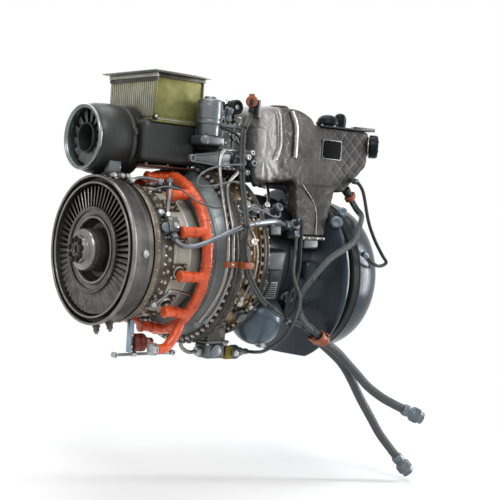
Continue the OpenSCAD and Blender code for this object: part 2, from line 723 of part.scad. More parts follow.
module harness_main() color("dimgray") tube(laid(harness_main_route), harness_r, 3);
module harness_rear() color("dimgray") tube(laid_by_bell(harness_rear_route), harness_r, 3);
module harness_loops() color("dimgray") {
    tube(loop_front_route, loop_r, 5, 8);
    tube(loop_low_route, loop_r, 4, 8, [1, 1, 0]);
    tube(far_lead_route, far_lead_r, 4, 8, [1, 0, 0]);
    tube(loop_rear_route, loop_r, 5, 8);
}

module harness_clamps() color("sienna") at_jacket() {
    translate([-clamp_block, jacket_y + 4, top_clamp_at]) cube([clamp_block, clamp_block, top_clamp_h]);
    translate([sole[0], jacket_y + 1, sole[1]]) rotate([0, -heel_slope, 0])
        translate([rear_clamp_at - clamp_block / 2, 0, -rear_clamp_h]) cube([clamp_block, clamp_block, rear_clamp_h]);
}

module bundle_clamp() color("sienna") translate(bundle_at) rotate([0, bundle_tilt, 0])
    translate([-bundle_l / 2, -cable_step - 2, -bundle_h / 2]) cube([bundle_l, 2 * cable_step + 4, bundle_h]);

module cable_upper() color("dimgray") tube(cable_upper_route, cable_r, 2, 12);
module cable_lower() color("dimgray") tube(cable_lower_route, cable_r, 2, 12);

// A round plug at the end of a cable
module plug(route) color("slategray") {
    last = len(route) - 1;
    along = unit(route[last] - route[last - 1]);
    aimed(route[last] + seat * along, along) union() {
        cylinder(h = plug_l, r = plug_ring_r * 0.8);
        translate([0, 0, plug_l * 0.45]) cylinder(h = plug_l * 0.35, r = plug_ring_r);
    }
}
module plug_upper() plug(cable_upper_route);
module plug_lower() plug(cable_lower_route);

module fuel_pump() color("lightgray") translate([pad_x, pump_y, -pad_level - pump_h])
    cube([pump_l, pump_w, pump_h]);

module fuel_valve() color("goldenrod") translate([pad_x + pump_l, valve_y, -pad_level - pump_h - 6])
    cube([valve_l, valve_w, pump_h - 10]);

module oil_sump() color("slategray") difference() {
    translate(sump_at) sphere(r = sump_r);
    bar(neck_x, neck_l, neck_r + seat);
}

module drain_strap() color("lightblue") translate([strap_x, strap_y, strap_z])
    cube([strap_l, strap_w, -strap_z - sqrt(joint_r * joint_r - pow(strap_y + strap_w, 2)) - seat]);

module drain_valve() color("firebrick") translate([drum_x - 4, strap_y + strap_w / 2, strap_z + valve_r + 1])
    union() {
        bar(0, 32, valve_r);
        bar(32, 26, valve_r / 2);
    }

module drain_link() color("silver") translate([drum_x - link_front, strap_y, strap_z - link_t])
    cube([link_l, strap_w, link_t]);

module drain_fittings() color("dimgray") for (place = drain_places)
    radial(place[1]) translate([place[0], 0, casing_top(place[0] - drain_r, place[0] + drain_r) + seat])
        cylinder(h = drain_h, r = drain_r);

// Moves a piece from stations behind the rim to the frame of the drive end flange
module placed() translate([-face_x, 0, 0]) children();

placed() turbine_casing();
placed() turbine_disc();
placed() turbine_blades();
placed() clamp_band();
placed() combustor_casing();
placed() fuel_nozzles();
placed() fuel_manifold();
placed() feed_nut();
placed() fuel_block();
placed() shroud_cone();
placed() main_flange();
placed() hot_casing();
placed() rear_flange();
placed() intake_neck();
placed() intake_front_bell();
placed() intake_core();
placed() intake_rear_dome();
placed() drive_flange();
placed() fan_housing();
placed() fan_lip();
placed() fan_rotor();
placed() fan_bracket();
placed() fan_duct();
placed() oil_cooler();
placed() cooler_frame();
placed() accessory_gearbox();
placed() gearbox_arm();
placed() filter_head();
placed() oil_filter();
placed() gearbox_connector();
placed() insulation_jacket();
placed() jacket_leg();
placed() data_plate();
placed() top_cap();
placed() side_cap();
placed() cross_pipe();
placed() steel_tubes();
placed() far_tubes();
placed() tube_clips();
placed() harness_main();
placed() harness_rear();
placed() harness_loops();
placed() harness_clamps();
placed() bundle_clamp();
placed() cable_upper();
placed() cable_lower();
placed() plug_upper();
placed() plug_lower();
placed() fuel_pump();
placed() fuel_valve();
placed() oil_sump();
placed() drain_strap();
placed() drain_valve();
placed() drain_link();
placed() drain_fittings();
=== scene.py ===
import math

import bmesh
import bpy
from mathutils import Matrix, Vector, noise


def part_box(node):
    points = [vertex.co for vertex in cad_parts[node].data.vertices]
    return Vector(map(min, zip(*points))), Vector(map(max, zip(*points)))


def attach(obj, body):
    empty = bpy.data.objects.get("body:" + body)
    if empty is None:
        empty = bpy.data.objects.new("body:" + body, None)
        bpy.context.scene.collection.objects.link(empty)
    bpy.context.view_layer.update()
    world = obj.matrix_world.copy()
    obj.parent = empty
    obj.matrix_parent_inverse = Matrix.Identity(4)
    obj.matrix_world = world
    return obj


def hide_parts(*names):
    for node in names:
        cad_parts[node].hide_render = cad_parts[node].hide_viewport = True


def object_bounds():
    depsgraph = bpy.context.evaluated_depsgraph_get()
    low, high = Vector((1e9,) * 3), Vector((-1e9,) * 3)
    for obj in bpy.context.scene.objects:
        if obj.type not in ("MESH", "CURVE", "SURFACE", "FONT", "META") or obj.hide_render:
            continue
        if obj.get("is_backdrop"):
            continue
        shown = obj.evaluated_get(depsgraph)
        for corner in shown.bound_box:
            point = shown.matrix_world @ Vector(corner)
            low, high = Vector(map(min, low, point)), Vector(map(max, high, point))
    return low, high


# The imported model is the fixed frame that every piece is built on
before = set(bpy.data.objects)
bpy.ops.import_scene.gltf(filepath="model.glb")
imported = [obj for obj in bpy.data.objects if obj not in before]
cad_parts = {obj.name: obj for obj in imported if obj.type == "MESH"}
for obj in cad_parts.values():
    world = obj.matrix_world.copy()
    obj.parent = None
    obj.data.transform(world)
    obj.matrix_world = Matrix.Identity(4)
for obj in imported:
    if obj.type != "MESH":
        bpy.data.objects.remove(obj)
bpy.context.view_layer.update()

bl_info = {"name": "Turboshaft engine dressing", "version": (1, 0, 0), "blender": (4, 5, 0),
    "location": "View3D > Sidebar > Engine",
    "description": "Builds the finished casings, pipes, harness and jacket around the engine's solids",
    "category": "Object"}

# Shapes are drawn in millimetres behind the exhaust rim and then moved to the frame
MM = 0.001
RIM_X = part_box("turbine_casing")[0].x
TO_FRAME = Matrix.Translation((RIM_X, 0.0, 0.0)) @ Matrix.Scale(MM, 4)
FULL_TURN = math.tau
FAN_AXIS = Matrix.Translation((0.0, 55.0, 268.0))
INTAKE_AXIS = Matrix.Translation((0.0, 0.0, -48.0))
# Headings in the frame
FORE, REAR, NEAR, FAR, DOWN, UP = (-1, 0, 0), (1, 0, 0), (0, -1, 0), (0, 1, 0), (0, 0, -1), (0, 0, 1)
# Angles of the fuel nozzles above the near side
NOZZLE_ANGLES = [17.8 + k * (360 / 11) for k in range(11)]
# The two directions, in X and Z, across the seams of the jacket's diamonds
QUILT_WAYS = ((0.62, 0.78), (0.74, -0.67))


def linear(code):
    """Turns an sRGB hex colour into linear red, green and blue"""
    parts = [int(code[i:i + 2], 16) / 255 for i in (1, 3, 5)]
    return tuple(p / 12.92 if p <= 0.04045 else ((p + 0.055) / 1.055) ** 2.4 for p in parts)


def tint(label, text, code):
    """A colour that a user may change"""
    return bpy.props.FloatVectorProperty(name=label, description=text, subtype="COLOR", size=3, min=0.0,
        max=1.0, default=linear(code))


class EngineSizes(bpy.types.PropertyGroup):
    """Sizes of the dressing that a user may change"""
    blade_count: bpy.props.IntProperty(name="Turbine blades", description="Blades on the exhaust wheel",
        default=60, min=20, max=90)
    main_bolts: bpy.props.IntProperty(name="Main flange bolts", description="Bolts around the main flange",
        default=64, min=12, max=90)
    fin_pitch: bpy.props.FloatProperty(name="Cooler rib pitch",
        description="Distance between the cooler's ribs", default=0.0083, min=0.003, max=0.02,
        unit="LENGTH")
    quilt_pitch: bpy.props.FloatProperty(name="Quilt pitch",
        description="Side of a diamond of the jacket's quilting", default=0.027, min=0.015, max=0.08,
        unit="LENGTH")
    puff: bpy.props.FloatProperty(name="Jacket puff",
        description="How far the jacket swells between its seams", default=0.0007, min=0.0, max=0.008,
        unit="LENGTH")


class EngineColours(bpy.types.PropertyGroup):
    """Colours of the finishes that a user may change"""
    gunmetal: tint("Gunmetal", "Exhaust casing", "#474645")
    turned: tint("Turned steel", "Hub of the exhaust wheel", "#93928F")
    blades: tint("Blades", "Blades of the exhaust wheel", "#6E6C69")
    band: tint("Clamp band", "Band around the exhaust joint", "#857E6E")
    combustor: tint("Combustor", "Heat treated sheet of the combustor", "#E1E6DA")
    sleeve: tint("Sleeve", "Orange sleeve of the fuel manifold", "#E85D28")
    cone: tint("Cone", "Painted cone in front of the main flange", "#757B7C")
    flange: tint("Flanges", "Machined flanges", "#504E4A")
    intake: tint("Intake", "Paint of the air intake", "#2F3840")
    fan: tint("Fan", "Paint of the fan housing and its duct", "#383939")
    cast: tint("Castings", "Cast gearbox and its fittings", "#6E7173")
    foil: tint("Foil", "Foil of the insulation jacket", "#454342")
    clip: tint("Clips", "Cushioned clamps of tubes and cables", "#A2532A")
    braid: tint("Braid", "Braided sleeve of the harness", "#3E4041")


# Materials
class Nodes:
    """Adds shader nodes to a material or to the surroundings"""

    def __init__(self, owner):
        owner.use_nodes = True
        self.owner = owner
        self.tree = owner.node_tree
        self.shader = self.tree.nodes.get("Principled BSDF")

    def feed(self, node, inputs):
        """Gives a node's inputs their values or links"""
        for key, value in inputs.items():
            if isinstance(value, bpy.types.NodeSocket):
                self.tree.links.new(value, node.inputs[key])
            else:
                node.inputs[key].default_value = value

    def add(self, kind, inputs, out=0, **settings):
        """Adds a node and returns one of its outputs"""
        node = self.tree.nodes.new("ShaderNode" + kind)
        for key, value in settings.items():
            setattr(node, key, value)
        self.feed(node, inputs)
        return node.outputs[out]

    def spot(self, kind="Object"):
        """The place on the surface"""
        return self.add("TexCoord", {}, kind)

    def axes(self, spot):
        """The parts of a place, by the letter of the axis"""
        return self.add("SeparateXYZ", {0: spot}).node.outputs

    def math(self, operation, *values):
        """The result of a sum on two or three values"""
        return self.add("Math", dict(enumerate(values)), operation=operation)

    def vector(self, operation, *values, out=0):
        """The result of a sum on vectors"""
        return self.add("VectorMath", dict(enumerate(values)), out, operation=operation)

    def span(self, value, low, high, start=0.0, end=1.0, **settings):
        """A value carried from one range over to another"""
        return self.add("MapRange", {0: value, 1: low, 2: high, 3: start, 4: end}, **settings)

    def mix(self, share, first, second, **settings):
        """A share of a second colour over a first"""
        pair = [c if isinstance(c, bpy.types.NodeSocket) else rgba(c) for c in (first, second)]
        return self.add("Mix", {0: share, 6: pair[0], 7: pair[1]}, 2, data_type="RGBA", **settings)

    def noise(self, spot, per_metre, detail, rough=0.5, out="Fac"):
        """Soft noise with so many lumps in a metre"""
        return self.add("TexNoise", {"Vector": spot, "Scale": per_metre, "Detail": detail,
            "Roughness": rough}, out)

    def cells(self, spot, size_mm, feature="F1", random=1.0):
        """Distance inside cells of about that size"""
        return self.add("TexVoronoi", {"Vector": spot, "Scale": 1 / (size_mm * MM), "Randomness": random},
            "Distance", feature=feature)

    def relief(self, strength, depth_mm, height):
        """Bumps of the surface"""
        return self.add("Bump", {"Strength": strength, "Distance": depth_mm * MM, "Height": height})

    def used(self):
        """The colour that the shader has so far"""
        return self.shader.inputs["Base Color"].links[0].from_socket

    def coated(self, colour, relief):
        """Gives the shader another colour and other bumps"""
        self.feed(self.shader, {"Base Color": colour, "Normal": relief})
        return self


def rgba(colour):
    """A colour from a hex code or a user's colour, with full alpha"""
    return (*(linear(colour) if isinstance(colour, str) else colour), 1.0)


def surface(name, base, patch, grime="#1B1916", metallic=0.9, rough=0.45, patch_mm=60.0, grain_mm=3.0,
        bump=0.12, grime_mm=12.0, grime_share=0.8, wear=None, coat=0.0, rings_mm=0.0, specks=0.0,
        shine=0.5):
    """A used surface: two shades in patches, grain, grime and painted shade in the corners and bare metal
    on the edges
    """
    nodes = Nodes(bpy.data.materials.new(name))
    spot = nodes.spot()
    clouds = nodes.noise(spot, 1 / (patch_mm * MM), 5.0, 0.65)
    colour = nodes.mix(nodes.span(clouds, 0.36, 0.64), base, patch)
    grain = nodes.noise(spot, 1 / (grain_mm * MM), 4.0, 0.7)
    if specks:
        colour = nodes.mix(nodes.span(grain, 0.62, 0.72, 0.0, specks), colour, grime)
    if wear:
        soft = nodes.add("Bevel", {"Radius": 1.8 * MM}, samples=4)
        turn = nodes.vector("DOT_PRODUCT", soft, nodes.add("NewGeometry", {}, "Normal"), out="Value")
        colour = nodes.mix(nodes.math("MULTIPLY", nodes.span(turn, 0.88, 0.99, 0.85, 0.0), clouds), colour,
            wear)
    # Grime and painted shade: the surface is darker where it lies in a hollow
    if grime_share:
        hollow = nodes.add("AmbientOcclusion", {"Distance": grime_mm * MM}, "AO", samples=6)
        colour = nodes.mix(nodes.span(hollow, 0.35, 0.9, grime_share, 0.0), colour, grime)
    height = grain
    if rings_mm:
        radius = nodes.vector("LENGTH", nodes.vector("MULTIPLY", spot, (0.0, 1.0, 1.0)), out="Value")
        cuts = nodes.math("SINE", nodes.math("MULTIPLY", radius, FULL_TURN / (rings_mm * MM)))
        height = nodes.math("MULTIPLY_ADD", cuts, 0.5, grain)
    gloss = nodes.span(clouds, 0.3, 0.7, rough - 0.07, rough + 0.1)
    nodes.feed(nodes.shader, {"Roughness": gloss, "Metallic": metallic, "Specular IOR Level": shine,
        "Coat Weight": coat, "Coat Roughness": 0.2})
    return nodes.coated(colour, nodes.relief(bump, 0.4, height))


def heat_tinted(name):
    """Steel that ran hot: straw, brown and blue bands that follow the length, under soot and painted shade
    in the hollows
    """
    nodes = surface(name, "#C2B8A4", "#93805E", rough=0.27, patch_mm=45.0, grime_share=0.6, wear="#B9B2A4")
    spot = nodes.spot()
    sway = nodes.noise(spot, 14.0, 3.0)
    # One run of the bands takes 74 mm, the length of the casing
    run = nodes.math("MULTIPLY_ADD", nodes.axes(spot)["X"], 1 / 0.074, 7.68)
    band = nodes.add("ValToRGB", {0: nodes.math("MULTIPLY_ADD", sway, 0.7, run)})
    stops = band.node.color_ramp.elements
    stops[0].position, stops[1].position = 0.1, 0.95
    stops[0].color, stops[1].color = rgba("#A8A294"), rgba("#7C6444")
    for place, code in ((0.35, "#C8A468"), (0.55, "#8E6A3E"), (0.75, "#94929C")):
        stops.new(place).color = rgba(code)
    colour = nodes.mix(0.75, nodes.used(), band, blend_type="MULTIPLY")
    nodes.feed(nodes.shader, {"Base Color": nodes.mix(0.35, colour, band, blend_type="ADD")})
    return nodes


def braided(name, base, dark, light, strand_mm, turns):
    """Plaited sleeve: two sets of strands cross along the cable, lighter on their crowns as a painted
    highlight and darker between them as painted shade
    """
    nodes = surface(name, base, base, metallic=0.35, rough=0.5, grime_share=0.5)
    # The map's first axis holds millimetres along the cable, its second one turn around it.
    # Strands of 1 mm would not show, so they are drawn several millimetres wide.
    uv = nodes.axes(nodes.spot("UV"))
    along = nodes.math("MULTIPLY", uv["X"], FULL_TURN / (4 * strand_mm))
    strands = [nodes.math("SINE", nodes.math("MULTIPLY_ADD", uv["Y"], way * FULL_TURN * turns, along))
        for way in (-1.0, 1.0)]
    top = nodes.span(nodes.math("MAXIMUM", *strands), -0.2, 1.0)
    # The crowns of the strands carry a painted highlight, the gaps between them painted shade
    colour = nodes.mix(0.75, nodes.used(), nodes.mix(top, dark, light))
    return nodes.coated(colour, nodes.relief(0.5, 0.8, top))


def foil_cloth(name, base):
    """Aluminised cloth: a grey sheen, sharp creases with a painted glint and a fine woven ground"""
    pitch = bpy.context.scene.engine_sizes.quilt_pitch
    nodes = surface(name, base, "#3A3938", grime="#1C1B1A", metallic=0.7, rough=0.55, grime_mm=25.0,
        grime_share=0.5)
    spot = nodes.spot()
    axes = nodes.axes(spot)
    # The front half is loose and crumpled, the rear half is quilted flat
    loose = nodes.span(axes["X"], -0.36, -0.28, 1.0, 0.12)
    quilted = nodes.span(axes["X"], -0.24, -0.16)
    # Faint streaks run up and down the cloth
    drawn = nodes.vector("MULTIPLY", spot, (1.0, 1.0, 0.3))
    streak = nodes.span(nodes.noise(drawn, 1 / (7.0 * MM), 5.0), 0.4, 0.8, 0.0, 0.4)
    colour = nodes.mix(streak, nodes.used(), "#6A6867")
    # The cloth in front of the first tape is paler, partly its own tone and partly a painted highlight, and
    # the cloth behind the second one is darker
    front = nodes.span(axes["X"], -0.398, -0.388, 0.7, 0.0)
    colour = nodes.mix(front, colour, "#9A9896")
    colour = nodes.mix(nodes.span(axes["X"], -0.34, -0.18, 0.0, 0.9), colour, "#1A1919")
    # Creases run between facets of about 40 mm and 14 mm
    bent = nodes.noise(spot, 22.0, 3.0, out="Color")
    shifted = nodes.add("Mix", {0: 0.05, 4: spot, 5: bent}, 1, data_type="VECTOR")
    folds = [nodes.cells(shifted, size, "DISTANCE_TO_EDGE") for size in (40.0, 14.0)]
    # The loose cloth is paler along its creases: a painted glint
    crease_glint = nodes.math("MULTIPLY", nodes.span(folds[0], 0.0, 0.03, 0.3, 0.0), loose)
    colour = nodes.mix(crease_glint, colour, "#BDBBB8")
    # Pale thread lies in the seams of the diamonds
    seams = []
    for run, rise in QUILT_WAYS:
        first = nodes.math("MULTIPLY_ADD", axes["X"], run / pitch, -RIM_X * run / pitch)
        place = nodes.math("MULTIPLY_ADD", axes["Z"], rise / pitch, first)
        seams.append(nodes.math("PINGPONG", place, 0.5))
    thread = nodes.span(nodes.math("MINIMUM", *seams), 0.0, 0.035, 0.36, 0.0)
    colour = nodes.mix(nodes.math("MULTIPLY", thread, quilted), colour, "#95928F")
    # The loose front panel is the most crumpled
    height = nodes.math("MULTIPLY_ADD", folds[1], 0.4, folds[0])
    height = nodes.math("MULTIPLY", height, nodes.math("MULTIPLY_ADD", front, 2.2, loose))
    height = nodes.math("MULTIPLY_ADD", streak, 0.25, height)
    return nodes.coated(colour, nodes.relief(0.5, 3.0, height))


def mesh_panel(name):
    """Olive core behind a fine wire mesh: bright wires with small cells between them, darkened as painted
    shade
    """
    nodes = surface(name, "#8C8A55", "#6F6D3C", grime="#3A3820", metallic=0.55, rough=0.5, patch_mm=55.0)
    # Real cells of 1.5 mm would not show, so they are drawn 3 mm wide
    cells = nodes.cells(nodes.spot(), 3.0, random=0.25)
    # The cells between the wires are darker: painted shade in the holes
    colour = nodes.mix(nodes.span(cells, 0.15, 0.55, 0.5, 0.0), nodes.used(), "#4E4C2A")
    return nodes.coated(colour, nodes.relief(0.5, 1.0, cells))


def made_of(*values, **more):
    """A surface that only needs its name"""
    return lambda name: surface(name, *values, **more)


def recipes(c):
    """The engine's finishes, each by the function and the values that make it"""
    return {
        # Blasted dark steel, duller in patches, with bare edges
        "gunmetal_blasted_steel": made_of(c.gunmetal, "#62605D", rough=0.42, patch_mm=65.0, wear="#A3A19C"),
        # Turned steel with fine rings that draw out the highlight
        "turned_nickel_steel": made_of(c.turned, "#6F6E6C", rough=0.25, rings_mm=2.2, bump=0.04,
            grain_mm=9.0, grime_mm=8.0),
        # Grey disc with faint turning marks, darker in its recess with soot and painted shade
        "machined_disc_steel": made_of("#5E5D5B", "#4A4846", rough=0.36, rings_mm=3.0, bump=0.06,
            grain_mm=9.0, wear="#A9A7A2"),
        "ground_rim_steel": made_of("#8A8886", "#6B6967", rough=0.34, patch_mm=40.0, wear="#B9B7B4"),
        # Cast blades, warm grey, darker towards the roots with soot and painted shade
        "cast_blade_alloy": made_of(c.blades, "#504E4B", rough=0.38, patch_mm=25.0, wear="#B0ADA6",
            grime_mm=9.0),
        # Near-black steel: soot, and painted shade where it lines the cup floor behind the blades and the
        # fan's stator
        "soot_and_painted_shade_steel": made_of("#232221", "#33302D", metallic=0.6, rough=0.6),
        "gold_chromate_band": made_of(c.band, "#645D50", rough=0.4, patch_mm=30.0, wear="#BDB5A4"),
        # Pale heat treated sheet with brown stains
        "heat_treated_sheet": made_of(c.combustor, "#BEC3B7", grime="#4A473D", metallic=0.4, rough=0.42,
            patch_mm=55.0, specks=0.2, grime_share=0.6),
        "brown_sooted_steel": made_of("#4A433A", "#6B6152", grime="#17130F", metallic=0.7, rough=0.5,
            patch_mm=22.0, wear="#A79B84"),
        # Orange silicone over the fuel tubes: satin, darker in dirty patches and with painted shade in its
        # hollows
        "orange_silicone_sleeve": made_of(c.sleeve, "#D04C1E", grime="#5E1F10", metallic=0.0, rough=0.36,
            patch_mm=28.0, grain_mm=8.0, bump=0.6, grime_mm=14.0, coat=0.3),
        "orange_tape": made_of("#E8662F", "#D04E1E", grime="#6A2412", metallic=0.0, rough=0.33,
            patch_mm=12.0, coat=0.3),
        "grey_painted_sheet": made_of(c.cone, "#5F6565", grime="#2A2825", metallic=0.5, rough=0.38,
            patch_mm=80.0, wear="#A9AFB4"),
        "machined_flange_steel": made_of(c.flange, "#38352F", rough=0.4, patch_mm=30.0, wear="#B4B0A6",
            specks=0.4),
        "heat_tinted_steel": heat_tinted,
        # Satin blue-grey paint with a soft shine
        "blue_grey_satin_paint": made_of(c.intake, "#283037", grime="#15181B", metallic=0.25, rough=0.24,
            patch_mm=120.0, grain_mm=6.0, bump=0.05, wear="#7F93A8", shine=0.3),
        # A lighter copy of the intake's paint for the sump: painted light
        "intake_paint_lit_copy": made_of("#55636D", "#46525A", grime="#1C2226", metallic=0.25, rough=0.3,
            patch_mm=90.0, grain_mm=6.0, bump=0.04, wear="#93A7BA", shine=0.4),
        # Black alloy; it is also put on the intake core and the front of the dome as painted shade
        "black_anodised_and_painted_shade": made_of("#1A1C1E", "#242628", grime="#0B0B0B", metallic=0.2, rough=0.45,
            wear="#4A4C4E", shine=0.2),
        "matt_black_plate": made_of("#0B0B0C", "#101012", metallic=0.0, rough=0.6, wear="#17181A",
            shine=0.03),
        "dark_fan_paint": made_of(c.fan, "#2E2F2F", grime="#191A1A", metallic=0.5, rough=0.4,
            patch_mm=100.0, wear="#7E807E"),
        "spun_bright_aluminium": made_of("#8C9190", "#787D7C", rough=0.28, grime_share=0.4, patch_mm=40.0,
            grain_mm=9.0, bump=0.03),
        "pale_finned_aluminium": made_of("#AFB0A3", "#96978A", grime="#4A4A40", metallic=0.6, rough=0.42,
            patch_mm=40.0),
        "olive_wire_mesh": mesh_panel,
        "grey_cast_aluminium": made_of(c.cast, "#5C5F61", grime="#2A2A29", metallic=0.75, rough=0.45,
            grain_mm=2.0, bump=0.3, wear="#C3C5C6", specks=0.3),
        "satin_filter_alloy": made_of("#767A7D", "#626669", grime="#2A2D2F", metallic=0.8, rough=0.34,
            wear="#CACED2"),
        "aluminised_foil_cloth": lambda n: foil_cloth(n, c.foil),
        "foil_tape": made_of("#A6A5A3", "#858381", rough=0.34, patch_mm=14.0, grain_mm=6.0, bump=0.6,
            grime_share=0.4),
        "slate_moulded_cap": made_of("#171C20", "#12171A", grime="#0A0C0E", metallic=0.1, rough=0.3,
            wear="#3A444B", shine=0.1),
        "bright_drawn_tube": made_of("#8E8D8A", "#727170", rough=0.3, grime_share=0.6, grime_mm=7.0,
            grain_mm=9.0, bump=0.03),
        "grey_drawn_tube": made_of("#7A8187", "#666C71", metallic=0.6, rough=0.36, grime_share=0.55,
            bump=0.04),
        "rust_silicone_clip": made_of(c.clip, "#7E3F1E", grime="#341A0D", metallic=0.0, rough=0.5,
            patch_mm=10.0, grain_mm=2.0),
        "harness_braid": lambda n: braided(n, c.braid, "#191A1B", "#454849", strand_mm=2.4, turns=7.0),
        "cable_braid": lambda n: braided(n, c.braid, "#222324", "#5C5F60", strand_mm=2.6, turns=12.0),
        "grey_fan_blades": made_of("#7A7C7C", "#626464", metallic=0.5, rough=0.4, wear="#A4A6A4",
            grime_mm=9.0),
        "black_rubber_lead": made_of("#1B1C1D", "#262728", grime="#0A0A0A", metallic=0.0, rough=0.5,
            shine=0.25),
        "grey_wire_lead": made_of("#6F7072", "#4E4F50", metallic=0.2, rough=0.5),
        "grey_anodised_plug": made_of("#6E7780", "#59626A", metallic=0.7, rough=0.36, wear="#B4BCC2"),
        "straw_plated_bolt": made_of("#CFCBC0", "#A39D90", metallic=0.6, rough=0.3, patch_mm=8.0,
            grime_mm=5.0, grime_share=0.5),
        "zinc_plated_nut": made_of("#C3C5C4", "#A0A2A1", metallic=0.6, rough=0.28, patch_mm=9.0,
            grime_mm=5.0, grime_share=0.5),
        # Dull red for the drain valve, and for the sheet of painted shade under the fan duct
        "dull_red_valve_and_shade_sheet": made_of("#7A3428", "#612A22", grime="#26100C", metallic=0.3, rough=0.42,
            wear="#B07A6C"),
        "olive_yellow_valve": made_of("#8A7A1E", "#6F6218", grime="#2A250A", metallic=0.3, rough=0.45,
            wear="#B8AC6A"),
        "pale_blue_strap": made_of("#9EB2C2", "#8498A8", metallic=0.6, rough=0.35, wear="#CFDAE2"),
        "cream_ceramic": made_of("#C9BFA6", "#AFA389", grime="#4A4232", metallic=0.0, rough=0.5),
        "grey_blank_plate": made_of("#6C7074", "#5E6165", metallic=0.3, rough=0.45, wear="#8C9094"),
    }


def look(name):
    """The finish of that name, made on first use"""
    made = bpy.data.materials.get(name)
    if made is None:
        made = recipes(bpy.context.scene.engine_colours)[name](name).owner
    return made


# Shapes
def mesh_of(bm, name="shape"):
    """A mesh made from a shape, which is used up"""
    mesh = bpy.data.meshes.new(name)
    bm.to_mesh(mesh)
    bm.free()
    return mesh


def poured(mesh, bm=None):
    """A mesh poured into a shape, which may hold others already"""
    bm = bmesh.new() if bm is None else bm
    bm.from_mesh(mesh)
    bpy.data.meshes.remove(mesh)
    return bm


def carried(name, data):
    """An object in the scene that carries a mesh, curve, lamp or camera"""
    obj = bpy.data.objects.new(name, data)
    bpy.context.scene.collection.objects.link(obj)
    return obj


def evaluated(carrier):
    """The mesh that an object shows after its modifiers"""
    return bpy.data.meshes.new_from_object(carrier.evaluated_get(bpy.context.evaluated_depsgraph_get()))


def drop(carrier):
    """Takes an object and its mesh or curve out again"""
    data = carrier.data
    bpy.data.objects.remove(carrier)
    (bpy.data.curves if isinstance(data, bpy.types.Curve) else bpy.data.meshes).remove(data)


def outward(bm):
    """Turns every face outwards"""
    bmesh.ops.recalc_face_normals(bm, faces=bm.faces[:])
    return bm


def closed_up(bm):
    """Merges seams and poles and turns every face outwards"""
    bmesh.ops.remove_doubles(bm, verts=bm.verts[:], dist=0.01)
    return outward(bm)


def everything(bm):
    """All points, edges and faces of a shape"""
    return bm.verts[:] + bm.edges[:] + bm.faces[:]


def moved(bm, matrix):
    """The shape at another place"""
    bmesh.ops.transform(bm, matrix=matrix, verts=bm.verts)
    return bm


def rounded(bm, geom, soft, segments=2, affect="EDGES"):
    """Rounds edges or corners"""
    bmesh.ops.bevel(bm, geom=geom, offset=soft, offset_type="OFFSET", segments=segments, profile=0.5,
        affect=affect, clamp_overlap=True, material=-1)


def smoothed(bm):
    """Evens out the points of a skin"""
    bmesh.ops.smooth_vert(bm, verts=bm.verts[:], factor=0.5, use_axis_x=True, use_axis_y=True,
        use_axis_z=True)


def cut_off(bm, place, heading):
    """Cuts away what lies beyond a plane and closes the cut"""
    cut = bmesh.ops.bisect_plane(bm, geom=everything(bm), plane_co=place, plane_no=heading,
        clear_outer=True)
    bmesh.ops.holes_fill(bm, edges=[g for g in cut["geom_cut"] if isinstance(g, bmesh.types.BMEdge)])


def turned(outline, steps=96, soft=0.5, closed=None):
    """A body turned about the X axis from stations and radii, open where both its ends lie on the axis"""
    if closed is None:
        closed = outline[0][1] > 0 or outline[-1][1] > 0
    bm = bmesh.new()
    verts = [bm.verts.new((x, 0.0, r)) for x, r in outline]
    for a, b in zip(verts, verts[1:] + verts[:1] if closed else verts[1:]):
        bm.edges.new((a, b))
    if soft:
        corners = [v for v in verts if len(v.link_edges) == 2 and v.co.z > 0.01]
        rounded(bm, corners, soft, affect="VERTICES")
    bmesh.ops.spin(bm, geom=bm.verts[:] + bm.edges[:], cent=(0, 0, 0), axis=(1, 0, 0), dvec=(0, 0, 0),
        angle=FULL_TURN, steps=steps, use_merge=True, use_duplicate=False)
    return closed_up(bm)


def block(lo, hi, soft=1.5, segments=2):
    """A block between two corners with rounded edges"""
    bm = bmesh.new()
    bmesh.ops.create_cube(bm, size=1.0)
    size = [b - a for a, b in zip(lo, hi)]
    bmesh.ops.scale(bm, vec=size, verts=bm.verts)
    bmesh.ops.translate(bm, vec=[(a + b) / 2 for a, b in zip(lo, hi)], verts=bm.verts)
    rounded(bm, bm.edges[:], min(soft, min(size) * 0.45), segments)
    return closed_up(bm)


def plate(points, thick, soft=0.8):
    """A flat plate from an outline in X and Z, with its thickness along Y from zero"""
    bm = bmesh.new()
    face = bm.faces.new([bm.verts.new((x, 0.0, z)) for x, z in points])
    grown = bmesh.ops.extrude_face_region(bm, geom=[face])["geom"]
    bmesh.ops.translate(bm, vec=(0.0, thick, 0.0),
        verts=[g for g in grown if isinstance(g, bmesh.types.BMVert)])
    if soft:
        rounded(bm, bm.edges[:], soft)
    return closed_up(bm)


def toward(place, along):
    """A place whose X axis points along a heading"""
    return Matrix.Translation(place) @ Vector(along).to_track_quat("X", "Z").to_matrix().to_4x4()


def radial(angle, station=0.0):
    """A place on the engine's axis whose Z axis points outward at an angle above the near side"""
    return Matrix.Translation((station, 0.0, 0.0)) @ Matrix.Rotation(math.radians(90 - angle), 4, "X")


def stud(start, end, r, steps=24, soft=0.6):
    """A round bar between two points"""
    along = Vector(end) - Vector(start)
    bar = turned([(0, 0), (0, r), (along.length, r), (along.length, 0)], steps, soft)
    return moved(bar, toward(start, along))


def bolt(place, along, r=4.5, h=5.0):
    """A six-sided bolt head on its washer"""
    bm = bmesh.new()
    at = toward(place, along) @ Matrix.Rotation(math.pi / 2, 4, "Y")
    for sides, low, high, deep, middle in ((12, 1.4, 1.3, 0.25, 0.125), (6, 1.0, 1.0, 0.6, 0.5),
            (6, 1.0, 0.72, 0.2, 0.9)):
        bmesh.ops.create_cone(bm, cap_ends=True, segments=sides, radius1=r * low, radius2=r * high,
            depth=h * deep, matrix=at @ Matrix.Translation((0, 0, h * middle)))
    return outward(bm)


